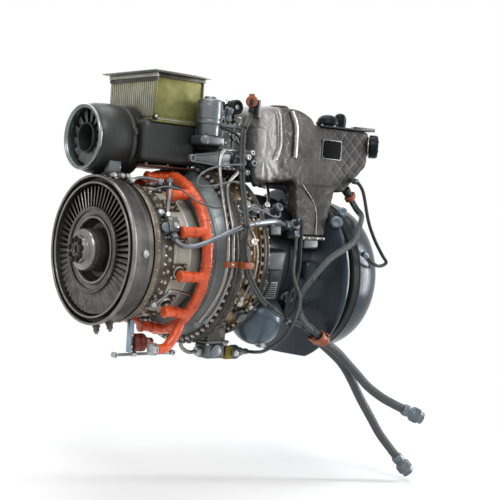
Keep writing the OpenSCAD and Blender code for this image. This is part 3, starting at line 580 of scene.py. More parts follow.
def around(bm, count, first=0.0):
    """Copies of a shape evenly around the X axis"""
    bmesh.ops.rotate(bm, cent=(0, 0, 0), matrix=Matrix.Rotation(math.radians(first), 3, "X"),
        verts=bm.verts)
    bmesh.ops.spin(bm, geom=everything(bm), cent=(0, 0, 0), axis=(1, 0, 0), dvec=(0, 0, 0),
        angle=FULL_TURN * (count - 1) / count, steps=count - 1, use_duplicate=True)
    return bm


def ball(place, r, detail=3):
    """A round ball"""
    bm = bmesh.new()
    bmesh.ops.create_icosphere(bm, subdivisions=detail, radius=r, matrix=Matrix.Translation(place))
    return bm


def vane(chord, widen, lean, bow, root, height, thick):
    """A bowed blade that stands out from the axis and twists towards its tip"""
    bm = bmesh.new()
    bmesh.ops.create_grid(bm, x_segments=6, y_segments=5, size=0.5)
    for v in bm.verts:
        run, out = v.co.x + 0.5, v.co.y + 0.5
        turn = math.radians(lean + 14 * out)
        along = (run - 0.5) * (chord + widen * out)
        off = bow * (1 - (2 * run - 1) ** 2)
        v.co = (22 + along * math.cos(turn) - off * math.sin(turn),
            along * math.sin(turn) + off * math.cos(turn), root + height * out)
    bmesh.ops.solidify(outward(bm), geom=bm.faces[:], thickness=thick)
    return outward(bm)


def smooth_path(route, steps):
    """The route with points between its own, on a curve through four points at a time"""
    points = [Vector(p) for p in route]
    last = len(points) - 1
    path = []
    for i in range(last):
        a, b, c, d = (points[max(0, min(last, i + k))] for k in (-1, 0, 1, 2))
        for s in range(steps):
            u = s / steps
            path.append(0.5 * (2 * b + (c - a) * u + (2 * a - 5 * b + 4 * c - d) * u * u
                + (3 * b - a - 3 * c + d) * u ** 3))
    return path + [points[last]]


def pipe(route, r, steps=5, detail=4):
    """A round tube along a route, with millimetres along it and one turn around it in its UV map"""
    path = smooth_path(route, steps)
    curve = bpy.data.curves.new("route", "CURVE")
    curve.dimensions = "3D"
    curve.bevel_depth = r
    curve.bevel_resolution = detail
    curve.use_fill_caps = True
    spline = curve.splines.new("POLY")
    spline.points.add(len(path) - 1)
    for point, place in zip(spline.points, path):
        point.co = (*place, 1.0)
    carrier = carried("route", curve)
    bm = poured(evaluated(carrier))
    drop(carrier)
    length = sum((b - a).length for a, b in zip(path, path[1:]))
    layer = bm.loops.layers.uv.active
    for face in bm.faces:
        for loop in face.loops:
            loop[layer].uv.x *= length
    return closed_up(bm)


def nut(place, along, r, length):
    """A six-sided union nut between two round collars"""
    bm = turned([(length * 0.2, 0), (length * 0.2, r), (length * 0.8, r), (length * 0.8, 0)], 6, soft=0)
    rings = ((0, 0), (0, 0.78), (0.1, 1.003), (0.25, 1.003), (0.25, 0.7), (0.75, 0.7), (0.75, 0.944),
        (0.92, 0.944), (1, 0.62), (1, 0))
    collars = turned([(length * x, r * wide) for x, wide in rings], 20, soft=0)
    return moved(poured(mesh_of(collars), bm), toward(place, along))


def blended(shapes, voxel):
    """One skin over several shapes, rounded where they meet"""
    whole = bmesh.new()
    for shape in shapes:
        poured(mesh_of(shape), whole)
    carrier = carried("blend", mesh_of(whole))
    skin = carrier.modifiers.new("skin", "REMESH")
    skin.mode = "VOXEL"
    skin.voxel_size = voxel
    bm = poured(evaluated(carrier))
    drop(carrier)
    return bm


class Piece:
    """Gathers shapes into one object that rides on a body"""

    def __init__(self, name):
        self.name = name
        self.whole = bmesh.new()
        self.finishes = []

    def put(self, finish, *shapes, place=None):
        """Adds shapes with their finish"""
        if finish not in self.finishes:
            self.finishes.append(finish)
        for shape in shapes:
            for face in shape.faces:
                face.material_index = self.finishes.index(finish)
            mesh = mesh_of(shape)
            if place is not None:
                mesh.transform(place)
            poured(mesh, self.whole)

    def done(self, slot, *nodes, body="engine", sharp=35.0):
        """Makes the object, which stands for the given solids"""
        self.whole.transform(TO_FRAME)
        mesh = mesh_of(self.whole, self.name)
        for finish in self.finishes:
            mesh.materials.append(look(finish))
        mesh.shade_smooth()
        mesh.set_sharp_from_angle(angle=math.radians(sharp))
        obj = carried(self.name, mesh)
        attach(obj, body)
        if nodes:
            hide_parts(*nodes)
        return obj


# Routes of pipes and cables, in millimetres behind the exhaust rim, as the solids have them
CROSS_ROUTE = [(120, -164, 50), (121, -184, 30), (132, -212, 24), (165, -232, 36), (226, -252, 66),
    (290, -250, 86), (376, -230, 94), (424, -202, 90), (452, -186, 87), (460, -186, 87), (468, -186, 87)]
TUBE_FRONT_ROUTE = [(330, -96, 262), (330, -118, 262), (300, -140, 262), (268, -146, 255), (256, -152, 230),
    (248, -168, 190), (236, -200, 130), (228, -229, 72), (226, -239, 20), (224, -240, -20),
    (220, -228, -74), (205, -196, -135), (196, -172, -165)]
TUBE_REAR_ROUTE = [(345, -96, 236), (345, -116, 234), (322, -150, 214), (276, -168, 182), (258, -186, 150),
    (248, -212, 110), (245, -229, 72), (241, -239, 20), (241, -237, -38), (228, -208, -119),
    (212, -184, -156)]
IGNITER_ROUTE = [(138, -114, 178), (126, -132, 152), (120, -137, 108), (118, -144, 87)]
HARNESS_MAIN_ROUTE = [(381, -112, 379), (381, -112, 370), (381, -112, 361), (352, -137, 340),
    (325, -153, 308), (317, -162, 264), (302, -184, 202), (284, -218, 141), (250, -274, 78),
    (246, -274, 36), (264, -266, -12), (296, -248, -48), (356, -228, -99), (433, -210, -138),
    (515, -196, -164), (547, -187, -176.4), (559, -187, -184.4), (571, -187, -192.4)]
HARNESS_REAR_ROUTE = [(760.4, -115, 164.7), (765.8, -115, 158.9), (771.2, -115, 153), (777, -123, 139),
    (769, -150, 120), (716, -194, 92), (648, -240, 52), (560, -246, 8), (500, -244, -47), (474, -236, -85),
    (480, -228, -122), (510, -218, -154), (547, -213, -176.4), (559, -213, -184.4), (571, -213, -192.4)]
LOOP_FRONT_ROUTE = [(484, -195, 92), (482, -212, 100), (472, -228, 88), (469, -230, 26), (470, -228, -29),
    (440, -238, -80), (424, -238, -132), (446, -236, -164)]
LOOP_LOW_ROUTE = [(484, -192, 73.4), (483.5, -195.4, 66.2), (482, -199, 58), (462, -220, 20),
    (444, -236, -20), (441, -246, -50), (455, -252, -85), (453, -252, -120), (442, -252, -150),
    (431, -240, -183), (434, -200, -213), (448, -142, -238), (462, -100, -247), (463, -78, -249.5),
    (455, -65, -249.5), (448, -64, -249.5), (440.4, -64, -249.5)]
FAR_TUBE_ROUTE = [(318, 198.1, 30.1), (318, 205, 31.1), (319, 214, 32), (332, 226, 28), (356, 231, 16),
    (384, 226, 0), (414, 206, -20), (440, 184, -42), (456, 168, -57), (460, 160.5, -58.4),
    (460, 150.9, -54.9)]
FAR_DRAIN_ROUTE = [(318, 183.2, -81.6), (318, 189, -84.2), (319, 198, -88), (334, 210, -92),
    (360, 214, -96), (390, 206, -98), (430, 178, -100), (480, 152, -102), (496, 142, -99.4),
    (500, 138, -96.6), (500, 131.5, -92.1)]
FAR_LEAD_ROUTE = [(350, 90.4, 262), (350, 98, 262), (351, 108, 262), (356, 140, 246), (364, 172, 212),
    (376, 206, 158), (390, 222, 92), (416, 210, 36), (446, 190, 4), (470, 178, -11.5), (478, 170, -11.9),
    (478, 160.2, -11.2)]
LOOP_REAR_ROUTE = [(745, -130, 216), (746, -138, 215), (747, -146, 213), (750, -168, 186), (738, -205, 110),
    (752, -220, 60), (785, -221, 20), (802, -221, 0), (765, -221, -8), (706, -224, 24)]
CABLE_UPPER_ROUTE = [(597, -213, -209.7), (603, -213, -213.7), (612, -213, -219.7), (627, -215, -229),
    (646, -220, -243.5), (668, -230, -267), (690, -243, -292), (718, -263, -326), (748, -286, -352),
    (772, -304, -367), (783, -312, -373), (794, -320, -379)]
CABLE_LOWER_ROUTE = [(597, -187, -209.7), (603, -187, -213.7), (612, -187, -219.7), (627, -189, -230),
    (648, -194, -246), (670, -201, -266), (688, -209, -290), (704, -217, -318), (726, -231, -364),
    (748, -248, -408), (771, -266, -454), (796, -285, -492), (802, -290, -501), (808, -295, -510)]


class ENGINE_OT_stage(bpy.types.Operator):
    """Camera of the photograph, pale floor, soft lights and white surroundings"""
    bl_idname = "engine.stage"
    bl_label = "Stage"

    def execute(self, context):
        scene = context.scene
        scene.view_settings.view_transform = "Standard"
        turn, rise, roll = (math.radians(a) for a in (-41.2356, 1.8956, 3.6580))
        level = Vector((math.cos(turn), math.sin(turn), 0.0))
        back = Vector((math.sin(turn) * math.cos(rise), -math.cos(turn) * math.cos(rise), math.sin(rise)))
        upright = back.cross(level)
        right = math.cos(roll) * level + math.sin(roll) * upright
        up = math.cos(roll) * upright - math.sin(roll) * level
        camera = bpy.data.cameras.new("camera")
        camera.lens = 79.2
        camera.sensor_width = 36.0
        eye = carried("camera", camera)
        place = Matrix((right, up, back)).transposed().to_4x4()
        place.translation = Vector((RIM_X - 1.43464, -2.21220, 0.10979))
        eye.matrix_world = place
        scene.camera = eye

        # White surroundings for the camera and for reflections, softer light on the object itself
        scene.world = bpy.data.worlds.new("studio")
        nodes = Nodes(scene.world)
        nodes.tree.nodes.clear()
        rays = nodes.add("LightPath", {}).node.outputs
        seen = nodes.math("MAXIMUM", rays["Is Camera Ray"], rays["Is Glossy Ray"])
        seen = nodes.math("MAXIMUM", seen, rays["Is Transmission Ray"])
        white = nodes.add("Background", {"Color": (1.0, 1.0, 1.0, 1.0), "Strength": 1.0})
        fill = nodes.add("Background", {"Color": (0.96, 0.98, 1.0, 1.0), "Strength": 0.42})
        output = nodes.tree.nodes.new("ShaderNodeOutputWorld")
        nodes.feed(output, {"Surface": nodes.add("MixShader", {0: seen, 1: fill, 2: white})})

        middle = Vector((-0.42, -0.02, 0.0))
        lamps = (("key", (-1.9, -2.2, 2.4), 1.6, 1.6, 62.0), ("top", (-0.3, 0.3, 2.6), 1.8, 1.8, 40.0),
            ("side", (2.1, -1.45, 0.3), 0.35, 2.2, 72.0), ("rear", (0.6, 2.4, 1.4), 1.6, 1.6, 26.0))
        for name, spot, wide, tall, power in lamps:
            lamp = bpy.data.lights.new(name, "AREA")
            lamp.shape = "RECTANGLE"
            lamp.size, lamp.size_y = wide, tall
            lamp.energy = power
            holder = carried(name, lamp)
            holder.location = spot
            holder.rotation_euler = (Vector(spot) - middle).to_track_quat("Z", "Y").to_euler()

        # A pale round floor under the lowest plug, which fades out before it meets the horizon
        floor_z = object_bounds()[0].z - 0.012
        bm = bmesh.new()
        bmesh.ops.create_circle(bm, cap_ends=True, segments=96, radius=1.6,
            matrix=Matrix.Translation((middle.x, middle.y, floor_z)))
        nodes = Nodes(bpy.data.materials.new("pale_floor"))
        offset = nodes.vector("SUBTRACT", nodes.spot(), (middle.x, middle.y, floor_z))
        fade = nodes.span(nodes.vector("LENGTH", offset, out="Value"), 0.45, 1.35, 1.0, 0.0,
            interpolation_type="SMOOTHSTEP")
        nodes.feed(nodes.shader, {"Base Color": (0.93, 0.93, 0.93, 1.0), "Roughness": 0.9,
            "Specular IOR Level": 0.1, "Alpha": fade})
        mesh = mesh_of(bm, "floor")
        mesh.materials.append(nodes.owner)
        carried("floor", mesh)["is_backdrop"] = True
        return {"FINISHED"}


class ENGINE_OT_free_cables(bpy.types.Operator):
    """The two free cables below the engine, each with its round plug"""
    bl_idname = "engine.free_cables"
    bl_label = "Free cables"

    def execute(self, context):
        ends = (("upper", CABLE_UPPER_ROUTE), ("lower", CABLE_LOWER_ROUTE))
        for name, route in ends:
            tip = Vector(route[-1])
            along = (tip - Vector(route[-2])).normalized()
            plug = Piece("round_plug_" + name)
            shell = turned([(0.3, 0), (0.3, 13), (4, 15.5), (16, 15.5), (18, 13.5), (22, 13.5), (24, 16),
                (27, 16), (27, 18.8), (48, 18.8), (48, 16), (58, 16), (60, 15), (60, 13), (47, 13),
                (47, 0)], steps=64, closed=False)
            plug.put("grey_anodised_plug", shell, place=toward(tip, along))
            ribs = around(block((28.5, -0.9, 17.6), (46.5, 0.9, 19.9), soft=0.4, segments=1), 36)
            plug.put("grey_anodised_plug", ribs, place=toward(tip, along))
            plug.put("black_rubber_lead", turned([(47, 0), (47, 12.6), (50, 12.6), (50, 0)], steps=32),
                place=toward(tip, along))
            pins = bmesh.new()
            for r, count in ((4.0, 5), (9.0, 10)):
                for k in range(count):
                    a = FULL_TURN * k / count
                    bmesh.ops.create_cone(pins, cap_ends=True, segments=8, radius1=0.9, radius2=0.7,
                        depth=6.0, matrix=Matrix.Translation((53, r * math.cos(a), r * math.sin(a)))
                        @ Matrix.Rotation(math.pi / 2, 4, "Y"))
            plug.put("straw_plated_bolt", pins, place=toward(tip, along))
            plug_object = plug.done("plug_metal", "plug_" + name)
            cable = Piece("free_cable_" + name)
            cable.put("cable_braid", pipe(route, 11.5, steps=6, detail=8))
            cable_object = cable.done("braid", "cable_" + name, sharp=60.0)
        return {"FINISHED"}


class ENGINE_OT_exhaust(bpy.types.Operator):
    """Exhaust casing with its grooved rim, its drain stubs and the clamp band"""
    bl_idname = "engine.exhaust"
    bl_label = "Exhaust casing"

    def execute(self, context):
        casing = Piece("exhaust_casing")
        casing.put("gunmetal_blasted_steel", turned([(56, 158.5), (8, 158.5), (8, 161), (24, 162.5),
            (24, 173), (8, 174), (8, 180), (11, 178.2), (14, 178), (46, 172.8), (47, 174.2), (51, 173.6),
            (52, 171.5), (62, 171), (62, 168), (74, 168), (74, 26), (56, 26)], steps=144))
        # Bright lips on both sides of the groove
        casing.put("ground_rim_steel", turned([(9, 157.5), (1.5, 157.5), (0, 158.6), (0, 161.6), (1.5, 163),
            (9, 163)], steps=144), turned([(9, 173.4), (2, 173.4), (0.3, 174.8), (0, 177), (1, 179.2),
            (4, 180), (9, 180)], steps=144))
        # Near-black disc on the cup floor behind the blades: painted shade of the deep cup
        casing.put("soot_and_painted_shade_steel", turned([(55.2, 26), (55.2, 157), (56.5, 157), (56.5, 26)], steps=96,
            soft=0))
        # Bright dome nut on the near side, and rows of small spot welds
        boss = turned([(-2, 0), (-2, 10.5), (1, 10.5), (2, 8.5), (5, 7.8), (7.5, 5.5), (8.6, 2.5),
            (8.8, 0)], steps=40, closed=False)
        casing.put("zinc_plated_nut", boss, place=toward((37, -172.5, 2.5), NEAR))
        casing.put("gunmetal_blasted_steel", around(ball((49, 0, 173.6), 1.5, 1), 60),
            around(stud((18, 0, 176), (18, 0, 178.6), 2.2, steps=10, soft=0.3), 24, 7.5))
        casing.done("turbine_steel", "turbine_casing")

        band = Piece("clamp_band_ring")
        band.put("gold_chromate_band", turned([(66, 168.4), (66, 172), (67.5, 173.4), (71, 173.8),
            (77, 173.8), (80.5, 173.4), (82, 172), (82, 168.4)], steps=144),
            around(block((68, -9, 172.8), (80, 9, 174.3), soft=0.5), 12))
        band.put("straw_plated_bolt", around(stud((74, 0, 173), (74, 0, 175), 1.6, steps=8, soft=0), 48,
            3.75))
        # Its closing bolt, under the engine on the far side
        lug = radial(-118, 74)
        for side in (-1, 1):
            band.put("gold_chromate_band", block((-7, side * 10 - 4, 172), (7, side * 10 + 4, 186)),
                place=lug)
        band.put("zinc_plated_nut", stud((0, -24, 180), (0, 24, 180), 3.0),
            nut((0, 14, 180), FAR, 6.0, 8.0), place=lug)
        band.done("band_gold", "clamp_band")

        stubs = Piece("drain_stubs")
        for station, angle, r in ((16, -83, 178.8), (28, -71, 177.2)):
            place = radial(angle, station)
            stubs.put("gunmetal_blasted_steel", stud((0, 0, r), (0, 0, r + 5), 9.5, soft=0.8), place=place)
            stubs.put("brown_sooted_steel", nut((0, 0, r + 4), UP, 8.0, 12.0), place=place)
            stubs.put("grey_drawn_tube", stud((0, 0, r + 14), (0, 0, r + 21.5), 4.5), place=place)
        stubs.done("turbine_steel", "drain_fittings")
        return {"FINISHED"}


class ENGINE_OT_wheel(bpy.types.Operator):
    """Exhaust wheel: hub with its nose bolts, disc, platforms and blades"""
    bl_idname = "engine.wheel"
    bl_label = "Exhaust wheel"

    def execute(self, context):
        count = context.scene.engine_sizes.blade_count
        hub = Piece("wheel_hub_and_disc")
        hub.put("turned_nickel_steel", turned([(-30, 0), (-30, 9.5), (-38, 10), (-39, 11.5), (-39, 31),
            (-37.5, 33.5), (-28, 34.5), (-26, 38), (-24.5, 46), (-22.5, 48.5), (-18, 50), (-6, 51),
            (34, 51)], steps=120, closed=False))
        hub.put("machined_disc_steel", turned([(12, 51), (33, 51), (35, 53), (35, 60), (32, 66), (18, 73),
            (11, 74.5)], steps=120, closed=False))
        hub.put("ground_rim_steel", turned([(11, 74.5), (5.5, 75.4), (4.2, 76.3), (4, 77.5), (4, 80),
            (4.8, 81.4), (9, 82.3)], steps=120, closed=False),
            turned([(9, 82.3), (10.5, 84), (9, 88), (6, 92.9), (44, 92.9), (50, 45), (50, 25), (72, 25),
            (72, 0)], steps=120, closed=False))
        # Nose: a ring of bolts around its hole, with lock plates between them
        hub.put("soot_and_painted_shade_steel", around(bolt((-39, 0, 25), FORE, 6.0, 6.0), 9))
        hub.put("machined_disc_steel", around(block((-41, -3.2, 14), (-38.5, 3.2, 20), soft=0.5), 9, 20.0),
            turned([(-42, 11.5), (-42, 16), (-38.5, 16), (-38.5, 11.5)], steps=48))
        hub.done("turned_steel", "turbine_disc", body="turbine_rotor")

        blades = Piece("wheel_blades")
        blades.put("cast_blade_alloy", turned([(0.4, 93.2), (0.2, 101.5), (1.5, 103), (43.6, 103),
            (43.6, 93.2)], steps=120))
        blades.put("machined_disc_steel", around(stud((1.0, 0, 97.6), (-0.8, 0, 97.6), 1.5, steps=8,
            soft=0), count))
        blades.put("cast_blade_alloy", around(vane(33, -4, 24, 5.0, 101, 51, 2.0), count))
        blades.done("turbine_steel", "turbine_blades", body="turbine_rotor")
        return {"FINISHED"}


class ENGINE_OT_combustor(bpy.types.Operator):
    """Combustor drum with its bolted flange, stiffening band, nozzles and gaskets"""
    bl_idname = "engine.combustor"
    bl_label = "Combustor"

    def execute(self, context):
        drum = Piece("combustor_drum")
        drum.put("gunmetal_blasted_steel", turned([(74.2, 20), (74.2, 166), (76, 168), (90, 168), (91, 166),
            (99, 166), (100, 164), (100, 154), (104, 150.5), (104, 20)], steps=144))
        drum.put("heat_treated_sheet", turned([(104, 20), (104, 150), (140, 150), (141, 151.5),
            (145, 151.5), (146, 150), (184, 150), (185, 151.5), (189, 151.5), (190, 150), (215.8, 150),
            (215.8, 20)], steps=144))
        drum.put("brown_sooted_steel", turned([(103, 148), (103, 157), (105, 158), (130, 158), (132, 157),
            (132, 148)], steps=144))
        drum.put("straw_plated_bolt", around(bolt((118, 0, 158), UP, 4.0, 5.0), 36, 4.0),
            around(bolt((100, 0, 160.5), REAR, 4.2, 8.0), 48))
        drum.put("gunmetal_blasted_steel", around(block((84, -2.4, 166), (99, 2.4, 168.5), soft=0.8), 24,
            3.75))
        for angle in NOZZLE_ANGLES:
            place = radial(angle, 152)
            drum.put("brown_sooted_steel", block((-24, -20, 149), (24, 20, 153.5), soft=3.0, segments=3),
                place=place)
            drum.put("heat_treated_sheet", stud((0, 0, 150), (0, 0, 160), 15.5), place=place)
            for x, y in ((-18, -14), (-18, 14), (18, -14), (18, 14)):
                drum.put("straw_plated_bolt", bolt((x, y, 153.5), UP, 3.4, 4.5), place=place)
        drum.done("combustor_beige", "combustor_casing")

        nozzles = Piece("fuel_nozzle_row")
        for angle in NOZZLE_ANGLES:
            place = radial(angle, 152)
            nozzles.put("machined_flange_steel", nut((0, 0, 159), UP, 13.0, 8.0), place=place)
            nozzles.put("zinc_plated_nut", stud((0, 0, 166), (0, 0, 172.5), 10.5), place=place)
        nozzles.done("flange_grey", "fuel_nozzles")
        return {"FINISHED"}


class ENGINE_OT_manifold(bpy.types.Operator):
    """Orange sleeved fuel manifold: a ring, a branch to each nozzle and the feed below"""
    bl_idname = "engine.manifold"
    bl_label = "Fuel manifold"

    def execute(self, context):
        shapes = [turned([(204 + 13.0 * math.cos(FULL_TURN * k / 20),
            192 + 13.0 * math.sin(FULL_TURN * k / 20)) for k in range(20)], steps=96, soft=0)]
        for angle in NOZZLE_ANGLES:
            arm = pipe([(136, 0, 184.5), (152, 0, 184.5), (176, 0, 187.5), (204, 0, 192)], 12.6, steps=4)
            drop_tube = stud((152, 0, 186), (152, 0, 171.5), 12.4)
            shapes += [moved(arm, radial(angle)), moved(drop_tube, radial(angle))]
        shapes.append(pipe([(200, -110, -150), (198, -110, -166), (184, -110, -196), (158, -110, -224),
            (131, -110, -227)], 12.4, steps=5))
        skin = blended(shapes, 2.6)
        smoothed(skin)
        for v in skin.verts:
            swell = noise.noise(v.co / 16.0) * 1.0 + noise.noise(v.co / 7.0) * 0.7
            v.co += v.normal * swell
        ring = Piece("fuel_manifold_sleeve")
        ring.put("orange_silicone_sleeve", outward(skin))
        for angle in NOZZLE_ANGLES:
            place = radial(angle)
            ring.put("orange_tape", turned([(134, 0), (134, 12.6), (136, 14.2), (141, 14.2), (143, 12.9),
                (143, 0)], steps=32), place=place @ Matrix.Translation((0, 0, 184.5)))
            ring.put("orange_tape", turned([(-3.5, 12.2), (-3, 14.0), (3, 14.0), (3.5, 12.2)], steps=32),
                place=place @ toward((172, 0, 186.6), (24, 0, 2.5)))
            # Tape wraps on the ring, on both sides of each branch
            for turn in (-9.0, 9.0):
                wrap = radial(angle + turn, 204) @ Matrix.Translation((0, 0, 192))
                ring.put("orange_tape", turned([(-4, 12.6), (-3.5, 14.1), (3.5, 14.1), (4, 12.6)],
                    steps=32), place=wrap @ Matrix.Rotation(math.pi / 2, 4, "Z"))
        ring.done("orange_sleeve", "fuel_manifold", sharp=50.0)

        union = Piece("feed_union")
        union.put("zinc_plated_nut", nut((130, -110, -227), FORE, 15.0, 18.0))
        union.done("steel_tube", "feed_nut")
        return {"FINISHED"}


class ENGINE_OT_fuel_block(bpy.types.Operator):
    """Fuel divider block with its unions, and the small fittings around it"""
    bl_idname = "engine.fuel_block"
    bl_label = "Fuel divider"

    def execute(self, context):
        body = Piece("fuel_divider")
        place = radial(24)
        body.put("grey_cast_aluminium", block((104.3, -19, 158.4), (136, 19, 184), soft=4.0, segments=3),
            block((107, -15, 158.3), (133, 15, 187), soft=3.0), place=place)
        body.put("zinc_plated_nut", nut((120, -6, 178), (0.1, 0.1, 1), 8.5, 12.0), place=place)
        body.put("grey_cast_aluminium", stud((112, 15, 176), (112, 27, 176), 6.5), place=place)
        body.put("zinc_plated_nut", nut((112, 19, 176), FAR, 7.5, 12.0), place=place)
        for x in (109, 131):
            body.put("straw_plated_bolt", bolt((x, 11, 184), UP, 3.2, 4.0), place=place)
        body.put("grey_cast_aluminium", turned([(0, 0), (0, 14), (3, 15), (12, 15), (14, 12.5), (20, 12),
            (21, 9), (21, 0)], steps=36), place=toward((108, -144, 60), (-0.35, -0.9, 0.3)))
        body.put("zinc_plated_nut", turned([(0, 0), (0, 9), (4, 9.4), (8, 7.5), (10, 4), (10.6, 0)],
            steps=28), place=toward((104, -131, 97), (-0.2, -0.8, 0.55)))
        body.done("cast_grey", "fuel_block")
        return {"FINISHED"}


class ENGINE_OT_main_joint(bpy.types.Operator):
    """Conical shroud and the main flange with its rows of bolts"""
    bl_idname = "engine.main_joint"
    bl_label = "Cone and main flange"

    def execute(self, context):
        count = context.scene.engine_sizes.main_bolts
        cone = Piece("conical_shroud")
        cone.put("grey_painted_sheet", turned([(216.2, 40), (216.2, 174), (218, 176), (232, 188),
            (233, 190), (236, 192.5), (238, 193), (258, 208.8), (261.8, 211), (261.8, 40)], steps=144))
        cone.put("straw_plated_bolt", around(bolt((226, 0, 182.6), (-0.62, 0, 0.78), 3.2, 3.4), 36, 3.0))
        cone.put("bright_drawn_tube", turned([(215.9, 172), (215.2, 173), (215.2, 178), (217.5, 178.5),
            (218.5, 177), (218, 172)], steps=144))
        cone.done("blue_grey", "shroud_cone")

        flange = Piece("main_flange_ring")
        flange.put("machined_flange_steel", turned([(262.2, 40), (262.2, 222), (264, 226), (266, 228),
            (271, 228), (272, 226), (275, 226), (276, 228), (289, 228), (291.8, 225), (291.8, 40)],
            steps=160))
        flange.put("zinc_plated_nut", around(bolt((262, 0, 218.5), FORE, 3.9, 7.0), count),
            around(bolt((292, 0, 218.5), REAR, 3.9, 6.5), count))
        flange.put("machined_flange_steel", around(block((277, -3.0, 226), (288, 3.0, 230.5), soft=1.0), 56,
            2.0))
        flange.done("flange_grey", "main_flange")
        return {"FINISHED"}


class ENGINE_OT_hot_section(bpy.types.Operator):
    """Heat tinted casing, rear flange and the dark intake neck with its plate and louvres"""
    bl_idname = "engine.hot_section"
    bl_label = "Hot section"

    def execute(self, context):
        hot = Piece("heat_tinted_casing")
        hot.put("heat_tinted_steel", turned([(292.2, 40), (292.2, 206), (298, 207), (299, 200), (314, 199),
            (315, 201.5), (319, 201.5), (320, 199), (340, 199.5), (341, 201.8), (345, 201.8), (346, 200),
            (360, 200), (361, 206), (365.8, 206), (365.8, 40)], steps=160))
        hot.put("machined_flange_steel", block((300, -60, 150), (358, 60, 214.8), soft=4.0),
            block((300, -95, -214.8), (358, -25, -150), soft=4.0))
        hot.put("straw_plated_bolt", around(bolt((330, 0, 200), UP, 5.5, 7.0), 18, 6.0))
        hot.put("brown_sooted_steel", around(stud((305, 0, 199), (305, 0, 204), 3.4, steps=12, soft=0.5),
            30, 4.0))
        hot.put("straw_plated_bolt", around(stud((352, 0, 199), (352, 0, 205), 4.0, steps=12, soft=0.5), 24,
            2.0))
        for angle in (-58, -35, 40, 150, 205):
            place = radial(angle, 330)
            hot.put("machined_flange_steel", turned([(0, 0), (0, 15), (4, 15), (5, 11), (10, 11), (11, 0)],
                steps=28), place=place @ toward((0, 0, 199), UP))
        hot.done("heat_tint", "hot_casing")

        rear = Piece("rear_flange_ring")
        rear.put("machined_flange_steel", turned([(366.2, 40), (366.2, 209), (368, 212), (374, 212),
            (375, 210), (378, 210), (379, 212), (384, 212), (385.8, 209), (385.8, 40)], steps=160))
        rear.put("straw_plated_bolt", around(bolt((366, 0, 206), FORE, 4.0, 5.0), 60, 3.0),
            around(bolt((386, 0, 203), REAR, 4.4, 6.0), 60, 3.0))
        rear.done("flange_grey", "rear_flange")

        neck = Piece("intake_neck_case")
        neck.put("black_anodised_and_painted_shade", turned([(386.2, 40), (386.2, 168), (390, 170), (394, 168),
            (395, 160), (430, 159), (431, 161.5), (436, 161.5), (437, 159), (500, 159), (501, 162),
            (508, 162), (509, 159.5), (539.8, 159.5), (539.8, 40)], steps=128))
        port = radial(25.2, 484)
        neck.put("grey_cast_aluminium", turned([(0, 0), (0, 19), (6, 19), (7, 15.5), (40, 15), (41, 14),
            (52, 14), (54, 12), (54, 0)], steps=32), place=port @ toward((0, 0, 160.5), UP))
        neck.put("straw_plated_bolt", around(bolt((6, 0, 16.5), REAR, 2.6, 3.0), 6),
            place=port @ toward((0, 0, 160.5), UP))
        # Equipment box with a plain plate above and louvres below, on the near side
        box = radial(-13, 0)
        neck.put("black_anodised_and_painted_shade", block((392, -66, 150), (464, 62, 182), soft=4.0, segments=3),
            place=box)
        neck.put("grey_blank_plate", block((398, 16, 181), (454, 58, 184.5), soft=1.2), place=box)
        neck.put("black_anodised_and_painted_shade", block((396, -14, 181), (450, 12, 184), soft=1.0), place=box)
        neck.put("grey_blank_plate", block((390, -62, 180), (452, -18, 183), soft=1.0), place=box)
        for k in range(7):
            y = -23 - 5.6 * k
            neck.put("black_anodised_and_painted_shade", block((393, y - 1.6, 182), (449, y + 1.6, 184.4), soft=0.6,
                segments=1), place=box)
        for x, y in ((401, 19), (451, 19), (401, 55), (451, 55)):
            neck.put("zinc_plated_nut", bolt((x, y, 184.5), UP, 1.8, 1.6), place=box)
        neck.done("turbine_steel", "intake_neck")
        return {"FINISHED"}


